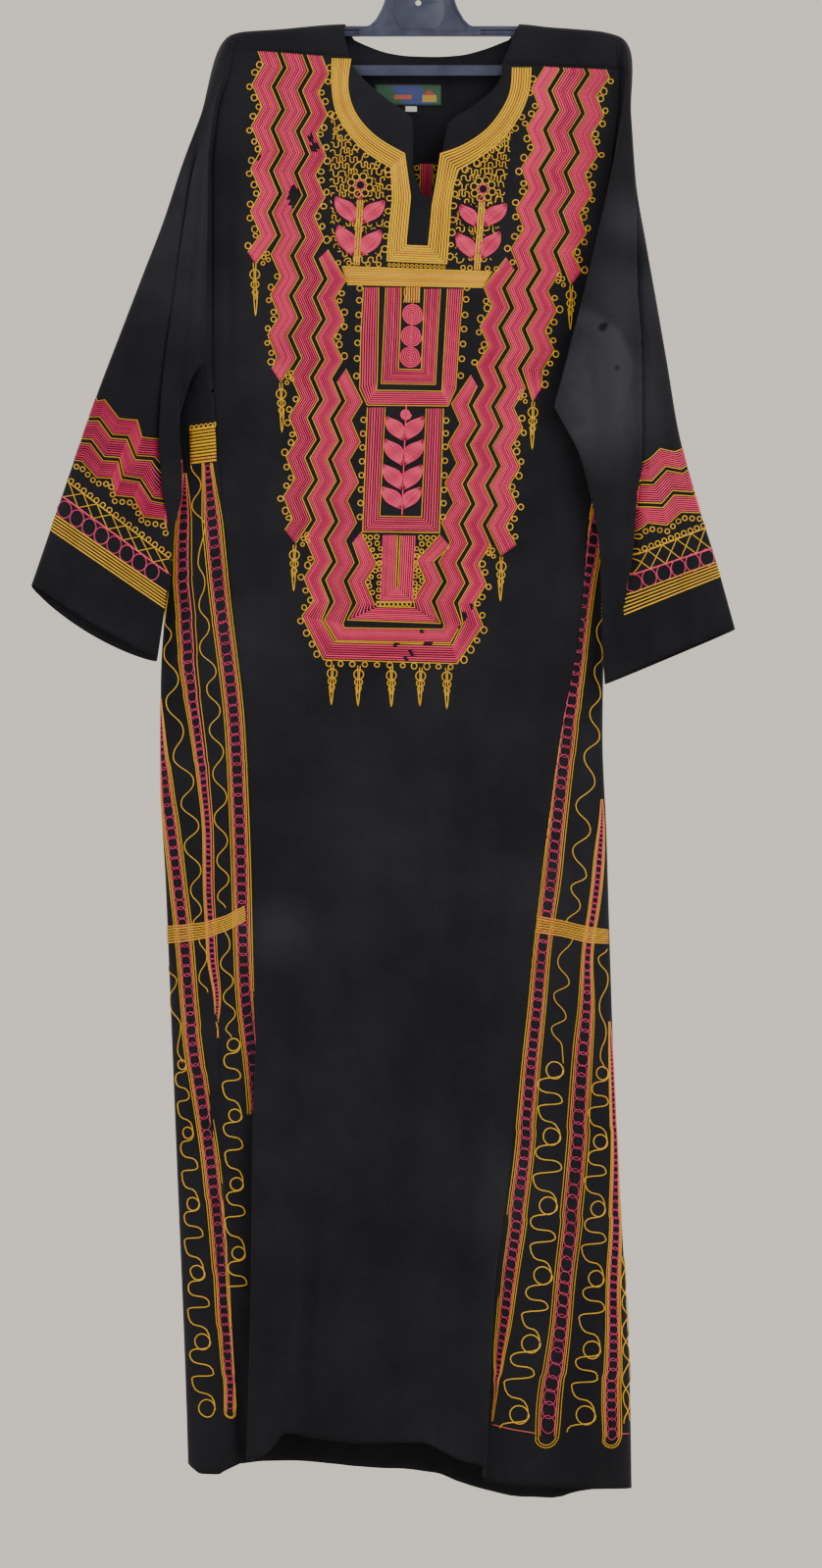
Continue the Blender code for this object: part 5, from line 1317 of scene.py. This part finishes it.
# rings down the boxes' sides, a row along the foot, and a few on each side of its top
add_rings(box_yellow, ((x, drop + stitch_random.uniform(-1, 1)) for drop in (293.5, 306, 321.5, 336, 351, 367, 383)
                       for x in (366.9 - 0.038 * (drop - 290), 476.2 - 0.07 * (drop - 290))), 2.8, 1.3, 0.6)
add_rings(box_yellow, ((x, drop + stitch_random.uniform(-1, 1)) for drop in np.arange(429, 530, 14.0)
                       for x in (371.2 - 0.038 * (drop - 416), 455.3 - 0.033 * (drop - 416))), 2.7, 1.3, 0.6)
add_rings(box_yellow, [(x, 616.6) for x in np.arange(385.5, 421.5, 4.5)], 2.1, 1.2, 0.7)
box_yellow.append(Thread([(383.5, 613.7), (423, 614.2)], 1.2, 0.7))
add_rings(box_yellow, [(x, drop) for drop in np.arange(560, 612, 7.0)
                       for x in (388.4 - 0.042 * (drop - 546), 425.6 - 0.05 * (drop - 546))], 2.0, 1.15, 0.6, 9)
add_rings(box_yellow, [(371.5, 548), (377.5, 548.5), (384, 548), (376.5, 555), (384.5, 554.5), (429, 548.5),
                       (435.5, 549), (442, 549), (430, 555), (437, 555)], 2.3, 1.2, 0.7)
sew("box_crimson", box_crimson, on_front, crimson_stitch, "crimson_thread", step=3.0, worn=WORN_CHEST[4:])
sew("box_yellow", box_yellow, on_front, yellow_stitch, "yellow_thread", step=3.0)
sew("box_orange", box_orange, on_front, orange_stitch, "orange_thread")

# ------------------------------------------------------------------ stitched columns on the gores
# Each gore has a yellow band at its top, columns of linked pink rings between yellow and salmon threads, a
# cross band half way down, and a wandering yellow thread between the columns: a wave above, and below it a
# meander with loops. The back half of the gore mirrors the front half about the dress's side.
GORE_TABLE_STEP = 5.0
GIRTH_STEP = 2.0
GIRTH_REACH = 190.0
# A column: its middle as pairs of (drop, across as seen from the front), its half width as pairs of (drop, mm),
# and how it ends: "point", "round" or "seam", where it runs on along the seam.
Column = namedtuple("Column", "side middle half end")
COLUMNS = [
    Column("left", [(472, 214.6), (493, 215.8), (539, 218.8), (640, 230.3), (746, 241.6), (847, 248.5), (920, 253),
           (992, 258), (1089, 261), (1140, 262)],
           [(472, 5), (493, 6.5), (539, 10), (800, 9.3), (1140, 9)], "seam"),
    Column("left", [(482, 188), (531, 187), (567, 186), (640, 189.5), (700, 195), (746, 200.8), (774, 204.5),
           (847, 212), (920, 213.5), (968, 216), (1041, 221), (1062, 222)],
           [(482, 1.5), (531, 8), (567, 9.2), (640, 9.5), (746, 7.2), (847, 5.2), (968, 5.0), (1041, 2.0),
            (1062, 0.6)], "point"),
    Column("left", [(712, 163.6), (750, 164.4), (798, 168), (847, 174), (920, 183.3), (992, 190.4), (1089, 199.6),
           (1219, 218.4), (1319, 228.3), (1418, 235), (1446, 235.5)],
           [(712, 0.6), (750, 5), (798, 8.5), (847, 9.4), (1100, 9.0), (1300, 9.0), (1418, 6.0),
            (1446, 5.0)], "round"),
    Column("right", [(480, 617), (520, 611), (561, 603.5), (623, 593.3), (684, 586.5), (766, 576.3), (882, 563.5),
           (974, 552), (1065, 543.2), (1134, 537), (1239, 526.3), (1339, 514.5), (1389, 508), (1414, 505.5),
           (1450, 501)],
           [(480, 6), (561, 10), (882, 9.5), (974, 8.5), (1239, 9.5), (1339, 7.8), (1389, 4.6), (1414, 1.5),
            (1450, 0.6)], "point"),
    Column("right", [(815, 613.6), (836, 613.5), (882, 610.6), (928, 605), (974, 599), (1020, 598.3), (1065, 595),
           (1134, 590), (1239, 581.6), (1339, 572.6), (1438, 559), (1470, 555.5)],
           [(815, 1.0), (882, 6), (974, 6), (1020, 8.2), (1065, 10), (1239, 11), (1339, 10.5), (1438, 12),
            (1470, 11)], "round"),
    Column("right", [(1042, 621.5), (1088, 624), (1134, 625.8), (1239, 627.3), (1339, 625.2), (1438, 623.4),
           (1470, 622.8)],
           [(1042, 1.0), (1088, 4), (1134, 5.5), (1239, 7), (1339, 8), (1438, 10), (1470, 9.5)], "round"),
]
# Waves as lists of their turning points (across as seen, drop).
WAVES = [
    ("left", [(194.5, 474), (204.6, 495), (195.5, 515), (209, 537), (202, 571), (209, 596), (203, 617),
        (213.4, 640), (203.5, 660), (220.4, 685), (210.7, 702), (224.6, 725), (213.4, 744), (228, 767), (217, 789),
        (231.5, 813), (218.5, 835), (232, 857), (221.4, 878), (233.5, 896), (222, 915), (230, 926)]),
    ("left", [(171.3, 598), (168, 632), (174.5, 647), (167, 664), (181.8, 693), (169, 716), (187, 746),
        (176.5, 772), (197.6, 797), (184.5, 820), (202.7, 842), (188, 863), (205, 887), (194.5, 908), (205.6, 928),
        (197, 942)]),
    ("left", [(226, 940), (234.7, 963), (225, 983), (238, 1000), (228, 1016), (240, 1034), (230, 1048),
        (236, 1058)]),
    ("left", [(203, 958), (211, 975), (203, 998), (212, 1012)]),
    ("left", [(170, 986), (180, 1000), (173, 1022), (184, 1048), (181, 1072), (186, 1084)]),
    ("right", [(614.5, 627), (608.4, 643), (614.5, 668), (606.3, 684), (612.5, 708), (601.2, 727), (611.4, 751),
        (595.5, 771), (606.7, 797), (587.2, 822), (601.7, 846), (583.8, 868), (597.6, 893), (582, 905),
        (591.4, 924), (577, 941)]),
    ("right", [(584, 955), (568.4, 981), (580.3, 1002), (564.3, 1015), (577, 1037), (562, 1049), (573, 1068),
        (574, 1084)]),
    ("right", [(619, 968), (610, 978), (620, 997), (611, 1028), (618, 1052), (612, 1078), (616, 1090)]),
    ("right", [(634, 1282), (642, 1305), (634, 1330), (643, 1352), (635, 1378), (643, 1400), (635, 1425),
        (642, 1450)]),
    ("right", [(640, 1284), (633, 1310), (642, 1334), (634, 1358), (642, 1382), (634, 1406), (642, 1430),
        (636, 1452)]),
]
# Meanders: the middle as pairs of (drop, across), and the half widths at the top and the end.
Meander = namedtuple("Meander", "side middle top_half end_half")
MEANDERS = [
    Meander("left", [(1087, 184), (1170, 190.5), (1250, 196), (1330, 201.5), (1415, 206.5),
        (1450, 209)], 7.5, 13.5),
    Meander("left", [(1066, 236), (1200, 239), (1350, 243)], 9.5, 10),
    Meander("right", [(1090, 562), (1180, 558), (1265, 553), (1340, 544.5), (1400, 530), (1455, 524)], 13, 14),
    Meander("right", [(1094, 612), (1234, 607), (1340, 604), (1400, 597), (1462, 592)], 10, 14.5),
]
MEANDER_PERIOD = 70.0
MEANDER_TURNS = [(0.0, 0.0), (-1.0, 0.22), (1.05, 0.45), (-1.05, 0.56)]
CROSS_BANDS = {"left": [(170, 946, 962), (186, 944, 960), (210, 941, 956), (232, 934, 948), (251, 924, 938)],
    "right": [(620, 949, 962), (600, 946, 961), (572, 939, 954), (545, 934, 950)]}
TOP_BANDS = {"left": [(194.0, 438.5, 472), (220.5, 435, 469)], "right": [(619.0, 452, 486), (607.0, 450, 484)]}


class GoreMap:
    """Where a place on a gore's cloth is: girth is the way round from the side, above 0 on the front."""

    def __init__(self, side):
        self.inward = 1.0 if side == "left" else -1.0
        self.top = UNDERARM[side]
        self.drops = np.arange(self.top, 1540, GORE_TABLE_STEP)
        rows = self.drops[:, None]
        angle = gore_angles(side, rows, 359)
        points = body_surface(angle, rows)
        way = np.linalg.norm(np.diff(points, axis=1), axis=2).cumsum(axis=1)
        way = np.concatenate([np.zeros((len(rows), 1)), way], axis=1)
        at_side = np.take_along_axis(way, np.argmin(np.abs(np.cos(angle)), axis=1)[:, None], axis=1)
        girth = at_side - way
        self.front_reach, self.back_reach = girth[:, 0], -girth[:, -1]
        self.grid = np.arange(-GIRTH_REACH, GIRTH_REACH + 1, GIRTH_STEP)
        self.angles = np.stack([np.interp(self.grid, g[::-1], a[::-1]) for g, a in zip(girth, angle)])
        self.seen_rows = [(np.maximum.accumulate(self.inward * p[g >= 0, 0][::-1]), g[g >= 0][::-1])
                          for g, p in zip(girth, points)]

    def seen(self, across, drop):
        """Girth of the place that shows at an across and a drop in the front view."""
        row = int(np.clip(round((drop - self.top) / GORE_TABLE_STEP), 0, len(self.drops) - 1))
        return float(np.interp(self.inward * across, *self.seen_rows[row]))

    def mirrored(self, route):
        """The same route on the back, squeezed where the back of the gore is narrower than its front."""
        share = np.interp(route[:, 1], self.drops, self.back_reach / self.front_reach)
        return route * np.stack([-share, np.ones(len(share))], axis=1)

    def surface(self, girth, drop):
        """The angle read from the table, evened between its four nearest entries, and the body's surface there."""
        row = np.clip((drop - self.top) / GORE_TABLE_STEP, 0, len(self.drops) - 1.001)
        column = np.clip((girth + GIRTH_REACH) / GIRTH_STEP, 0, len(self.grid) - 1.001)
        r, c = row.astype(int), column.astype(int)
        down, right = row - r, column - c
        above, below = (self.angles[k, c] * (1 - right) + self.angles[k, c + 1] * right for k in (r, r + 1))
        return body_surface(above * (1 - down) + below * down, drop)

    def place(self, flat):
        return outward(self.surface, flat, -self.inward)

    def place_over(self, flat):
        points, normals = self.place(flat)
        return points + normals * OVER_THREADS, normals


SEAM_CLEAR, OVER_THREADS = 12.0, 0.7
# a column's threads as (share of its half width, kind, width)
COLUMN_LINES = [(1.0, "yellow", 0.95), (0.77, "yellow", 0.95), (0.61, "salmon", 1.2)]


def swinging(turns, roundness):
    """A thread that swings from turn to turn. Each turn is (girth, drop, bulge): to the next turn it goes sideways
    as half a cosine wave, down faster by the roundness near the turns, which makes the bends rounder, and
    its middle is bulge lower, so two turns side by side with opposite bulges make a loop."""
    turns = np.array(turns)
    way = np.linspace(0, 1, 9)[:-1]
    first, last = turns[:-1, None, :], turns[1:, None, :]
    side = first[..., 0] + (last[..., 0] - first[..., 0]) * (1 - np.cos(math.pi * way)) / 2
    down = (first[..., 1] + (last[..., 1] - first[..., 1]) * (way + roundness * np.sin(2 * math.pi * way))
            + first[..., 2] * np.sin(math.pi * way))
    return np.concatenate([np.stack([side, down], axis=-1).reshape(-1, 2), turns[-1:, :2]])


def add_column(gore, column, threads):
    """Threads and rings of one column, in girth and drop."""
    knots = np.array([(drop, gore.seen(across, drop)) for drop, across in column.middle])
    drop = np.arange(knots[0, 0], knots[-1, 0] + 1, 8.0)
    middle = smooth_through(knots, drop)
    half = 1.06 * smooth_through(column.half, np.minimum(drop, column.half[-1][0]))
    if column.end == "seam":
        middle = np.minimum(middle, np.interp(drop, gore.drops, gore.front_reach) - SEAM_CLEAR)
    for shift, kind, width in COLUMN_LINES:
        for side in (-1, 1):
            if shift == 0.77 and side == 1 and column.side == "left" and column.end == "point":
                continue
            threads[kind].append(Thread(np.stack([middle + side * half * shift, drop], axis=1), width, dyed()))
    if column.end == "round":
        turn = np.linspace(0, math.pi, 9)
        for shift, kind, width in COLUMN_LINES[:2]:
            reach = half[-1] * shift
            foot = np.stack([middle[-1] + reach * np.cos(turn), drop[-1] + reach * np.sin(turn)], axis=1)
            threads[kind].append(Thread(foot, width, 0.6))
    at = drop[0] + 6
    while at < drop[-1] - 2:
        radius = 0.53 * np.interp(at, drop, half) * stitch_random.uniform(0.9, 1.1)
        tall = stitch_random.uniform(1.1, 1.35)
        if radius > 0.9:
            threads["pink"].append(Thread(ring(np.interp(at, drop, middle), at, radius, 11, tall), 1.0, dyed(0.2)))
        at += max(radius * tall * 1.62, 3.2)


def loop_turns(girth, drop, radius, inward):
    """A circle and a half from the right, under, left and over."""
    reach = radius * inward
    return [(girth + reach, drop - 0.1 * radius, radius), (girth - reach * 0.9, drop, -radius),
            (girth + reach * 1.05, drop + 0.15 * radius, 0.0)]


def meander_route(gore, meander):
    """Sideways swings down the meander: a loop, then two swings of uneven width, over and over."""
    turns = []
    top, end = meander.middle[0][0], meander.middle[-1][0]
    for at in np.arange(top, end - 10, MEANDER_PERIOD):
        for share, down in MEANDER_TURNS:
            drop = at + (down + stitch_random.uniform(-0.025, 0.025)) * MEANDER_PERIOD
            if drop > end:
                break
            half = meander.top_half + (meander.end_half - meander.top_half) * (drop - top) / (end - top)
            middle = gore.seen(float(smooth_through(meander.middle, drop)), drop)
            if down == 0.0:
                turns += loop_turns(middle + 0.2 * half * gore.inward, drop, half * 0.72, gore.inward)
            else:
                turns.append((middle + share * stitch_random.uniform(0.85, 1.1) * half * gore.inward, drop, 0.0))
    return swinging(turns, 0.13)


pink_stitch = chain_stitch("pink_stitch", (0.34, 0.012, 0.075), (0.72, 0.06, 0.2), 0.42)
salmon_stitch = chain_stitch("salmon_stitch", (0.6, 0.09, 0.07), (0.9, 0.2, 0.14), 0.42)
GORE_FINISHES = {"yellow": (yellow_stitch, "yellow_thread"), "salmon": (salmon_stitch, "crimson_thread"),
                 "pink": (pink_stitch, "crimson_thread"), "over_yellow": (yellow_stitch, "yellow_thread"),
                 "over_orange": (orange_stitch, "orange_thread")}
for side in UNDERARM:
    gore, threads = GoreMap(side), {kind: [] for kind in GORE_FINISHES}
    for column in COLUMNS:
        if column.side == side:
            add_column(gore, column, threads)
    for wave_side, points in WAVES:
        if wave_side == side:
            turns = [(gore.seen(*point), point[1], 0.0) for point in points]
            threads["yellow"].append(Thread(swinging(turns, 0.03), 1.15, dyed(0.3, 0.9)))
    for meander in MEANDERS:
        if meander.side == side:
            threads["yellow"].append(Thread(meander_route(gore, meander), 1.35, dyed(0.3, 0.9)))
    for bands, count, width, kinds in ((CROSS_BANDS, 7, 1.7, ("over_orange", "over_yellow")),
                                       (TOP_BANDS, 11, 2.5, ("over_yellow",) * 9 + ("over_orange",))):
        for number, share in enumerate(np.linspace(0, 1, count)):
            route = [(gore.seen(across, low), high + (low - high) * share) for across, high, low in bands[side]]
            threads[kinds[number % len(kinds)]].append(Thread(route, width, dyed()))
    for across, drop in between(*(end[:2] for end in TOP_BANDS[side]), stops(6, 0.05, 0.95)):
        add_rings(threads["yellow"], [(gore.seen(across, drop + 1.5), drop - 2.5)], 2.0, 1.2, 0.7, 9)
    if side == "right":
        for route in ([(501, 1451), (523, 1456), (546, 1460)], [(633, 1462), (641, 1463)]):
            threads["salmon"].append(Thread([(gore.seen(*point), point[1]) for point in route], 1.2, 0.5))
    for kind, made in threads.items():
        back = [thread._replace(route=gore.mirrored(np.asarray(thread.route, dtype=float))) for thread in made]
        sew("gore_%s_%s" % (side, kind), made + back, gore.place_over if kind.startswith("over") else gore.place,
            *GORE_FINISHES[kind], step=4.0)

# ------------------------------------------------------------------ stitched rows round the sleeves
# Above each plain cuff three rows of crimson steps go round the sleeve, then a yellow lattice with rings above
# it, a row of pink rings, and a dense yellow band. On the front they stop at the sleeve's crease.
# The rows' edges, from the sleeve's outer edge inwards, as seen from the front: one list of corners each.
SLEEVE_STEPS = {
    "left": [
        [(101, 408), (108, 406.5), (123, 426), (142, 428), (146.5, 445), (163, 447), (170, 464), (187, 466),
         (190, 480)],
        [(92, 428), (102, 428), (115, 446), (131, 447), (140, 468), (157, 469), (166, 490), (183, 491), (188, 505)],
        [(83, 450), (93.5, 451), (107, 469), (122, 470), (126, 488), (143.5, 491), (156, 510), (168, 513),
         (178, 530)],
        [(75, 472), (83, 473), (99, 490), (114, 491), (117, 508), (137, 510), (146.5, 530), (166, 532), (174, 553)],
    ],
    "right": [
        [(694, 457), (686, 460), (671, 457), (656, 472), (641, 471), (628, 486), (614, 485), (604, 496)],
        [(701, 477), (694, 482), (678, 479), (664, 494), (649, 493), (635, 508), (620, 507), (608, 518)],
        [(707.5, 500), (706, 505), (685, 504), (674, 517), (650.5, 516), (640, 530), (622, 529), (611, 541)],
        [(714, 523), (712, 526), (694, 525.5), (679, 539), (660, 536.5), (645, 550), (628, 549), (614, 562)],
    ],
}
STEP_THREADS = 9
# Straight rows as (outer end, inner end), each as (across, drop): the lattice's top and foot, the band's top and
# foot.
SLEEVE_LINES = {
    "left": [((70, 492), (175, 571.5)), ((64, 506.5), (174, 586.5)), ((56, 525), (170, 604)),
        ((50, 539), (168, 620))],
    "right": [((719, 539), (613, 580.5)), ((725, 560), (613, 597.5)), ((729, 574), (613, 617)),
        ((731, 589), (614, 636))],
}
# where the crease hides the rows, as pairs of (drop, across)
CREASE_EDGE = {"left": SLEEVE_CREASE["left"] + [(585, 176), (640, 176)], "right": [(166, 647), (403, 652),
    (470, 649), (510, 641), (545, 643), (590, 638), (640, 629)]}


MISS_LIMIT = 3.0
TURN_SCALE = 50.0
NUDGE = 0.004


def sleeve_place(side):
    def surface(first, second):
        turn, along = first / TURN_SCALE, second / SLEEVE_LENGTH
        return sleeve_shape(side, sleeve_ring(side, turn, along), turn, along)

    return lambda flat: outward(surface, flat, -1.0 if side == "left" else 1.0)


def sleeve_places(side, route):
    """Scaled turn and along of places seen from the front, by Newton's steps on the sleeve's plain ring with
    w = (1 - cos turn) / 2, which is even across the sleeve. Places off the sleeve are left out."""
    w, along = np.full(len(route), 0.5), np.full(len(route), 0.8)

    def shown(w, along):
        return sleeve_ring(side, np.arccos(1 - 2 * np.clip(w, 0.0005, 0.9995)), along)[:, :2]

    for _ in range(14):
        here = shown(w, along)
        by_w = (shown(w + NUDGE, along) - here) / NUDGE
        by_along = (here - shown(w, along - NUDGE)) / NUDGE
        miss = route - here
        size = by_w[:, 0] * by_along[:, 1] - by_w[:, 1] * by_along[:, 0]
        size = np.where(np.abs(size) < 1.0, 1.0, size)
        step_w = (miss[:, 0] * by_along[:, 1] - miss[:, 1] * by_along[:, 0]) / size
        step_along = (by_w[:, 0] * miss[:, 1] - by_w[:, 1] * miss[:, 0]) / size
        w = np.clip(w + 0.7 * step_w, 0.001, 0.995)
        along = np.clip(along + 0.7 * step_along, 0.3, 1.0)
    met = np.linalg.norm(route - shown(w, along), axis=1) < MISS_LIMIT
    return np.stack([np.arccos(1 - 2 * w) * TURN_SCALE, along * SLEEVE_LENGTH], axis=1)[met]


def before_crease(side, across, drop, clear):
    """Whether a place on the front is not hidden by the sleeve's crease, with a clearance to it."""
    edge = smooth_through(CREASE_EDGE[side], drop)
    return across < edge - clear if side == "left" else across > edge + clear


BACKWARDS = (-1.0, 1.0)  # the place behind another on the sleeve
RING_PITCH = 15.6
ROW_PAINTED_LIGHT_TONES = {"left": (-0.3, 0.3), "right": (0.5, 1.0)}  # the left sleeve's rows are painted darker as painted shade, the right sleeve's lighter as painted light
for side in SLEEVES:
    threads = {"crimson": [], "yellow": [], "pink": []}

    def stitch_row(route, kind, width, tone):
        """Lay one row round the outer fold: all of it on the back, and up to the crease on the front."""
        route = resampled(route, 3.0)
        front = sleeve_places(side, route[before_crease(side, *route.T, 2)])
        back = sleeve_places(side, route)[::-1] * BACKWARDS
        threads[kind].append(Thread(np.concatenate([back, front]), width, tone))

    def stitch_straight(ends, kind, width, tone):
        stitch_row(between(*ends, stops(12)), kind, width, tone)

    def stitch_ring(across, drop, radius, kind, width, tall=1.0):
        shape = ring(across, drop, radius, 11, tall)
        flat = sleeve_places(side, shape)
        if len(flat) < len(shape):
            return
        if before_crease(side, across, drop, radius):
            threads[kind].append(Thread(flat, width, dyed(0.2)))
        threads[kind].append(Thread(flat * BACKWARDS, width, dyed(0.2)))

    edges = [np.array(corners, dtype=float) for corners in SLEEVE_STEPS[side]]
    for upper, lower in zip(edges[:-1], edges[1:]):
        for share in np.linspace(0.1, 0.9, STEP_THREADS):
            edge = share in (0.1, 0.9)
            # each row's tone carries painted shade on the left sleeve and painted light on the right
            stitch_row(upper + (lower - upper) * share, "yellow" if edge else "crimson", 1.2 if edge else 1.6,
                       stitch_random.uniform(*ROW_PAINTED_LIGHT_TONES[side]))
    lattice_top, lattice_foot, band_top, band_foot = SLEEVE_LINES[side]
    stitch_straight(lattice_top, "yellow", 1.4, 0.7)
    stitch_straight(lattice_foot, "crimson", 1.9, 0.9)
    for share in np.linspace(0, 1, 6):
        stitch_straight(edge_line(zip(band_top, band_foot), share), "yellow", 1.75, dyed())
    ways = np.linspace(0.01, 0.98, 8)
    for edge_pair in ((lattice_foot, lattice_top), (lattice_top, lattice_foot)):
        zigzag = [between(*edge_pair[k % 2], way) for k, way in enumerate(ways)]
        stitch_row(np.concatenate(zigzag), "yellow", 1.1, 0.6)
    first, last = edge_line(zip(lattice_foot, band_top), 0.5)
    length = np.linalg.norm(last - first)
    for at in np.arange(RING_PITCH / 2, length, RING_PITCH):
        stitch_ring(*(first + (last - first) * at / length), 7.4, "pink", 1.4, 1.2)
    for x, y in between(*lattice_top, stops(16, 0.03, 0.97)):
        stitch_ring(x, y - 3.2, 2.5, "yellow", 1.25)
    for x, y in resampled(edges[-1], 1.0)[4::8]:
        stitch_ring(x, y + 4.0, 2.4, "yellow", 1.25)
    for kind, finish, slot_name in (
            ("crimson", crimson_stitch, "crimson_thread"), ("yellow", yellow_stitch, "yellow_thread"),
            ("pink", pink_stitch, "crimson_thread")):
        sew("sleeve_%s_%s" % (side, kind), threads[kind], sleeve_place(side), finish, slot_name, step=4.5)

# ------------------------------------------------------------------ stitched strip at the back neck
# A narrow crimson strip with yellow edges and rings runs down the centre back. Its underside shows on the
# inside of the back panel, through the neck slit.
STRIP_TOP, STRIP_FOOT = 163.0, 330.0
strip_crimson, strip_yellow = [], []
for count, across in enumerate(np.linspace(428.5, 441.5, 7)):
    edge = count in (0, 6)
    (strip_yellow if edge else strip_crimson).append(
        Thread([(across, STRIP_TOP), (across - 0.5, STRIP_FOOT)], 1.4 if edge else 1.95, dyed(0.1)))
ring_drops = np.arange(STRIP_TOP + 4, STRIP_FOOT, 9.0)
add_rings(strip_yellow, [(x, drop) for drop in ring_drops for x in (424.8, 445.0)], 2.4, 1.25, 0.6)


def on_back(flat):
    return outward(lambda across, drop: body_surface(back_angle(across, drop), drop), flat, 1.0)


def on_back_inside(flat):
    points, normals = on_back(flat)
    return points - normals * CLOTH_THICK, -normals


for word, place in (("", on_back), ("inside_", on_back_inside)):
    sew("back_strip_%scrimson" % word, strip_crimson, place, crimson_stitch, "crimson_thread")
    sew("back_strip_%syellow" % word, strip_yellow, place, yellow_stitch, "yellow_thread", step=3.0)

# ------------------------------------------------------------------ end
bpy.context.view_layer.update()
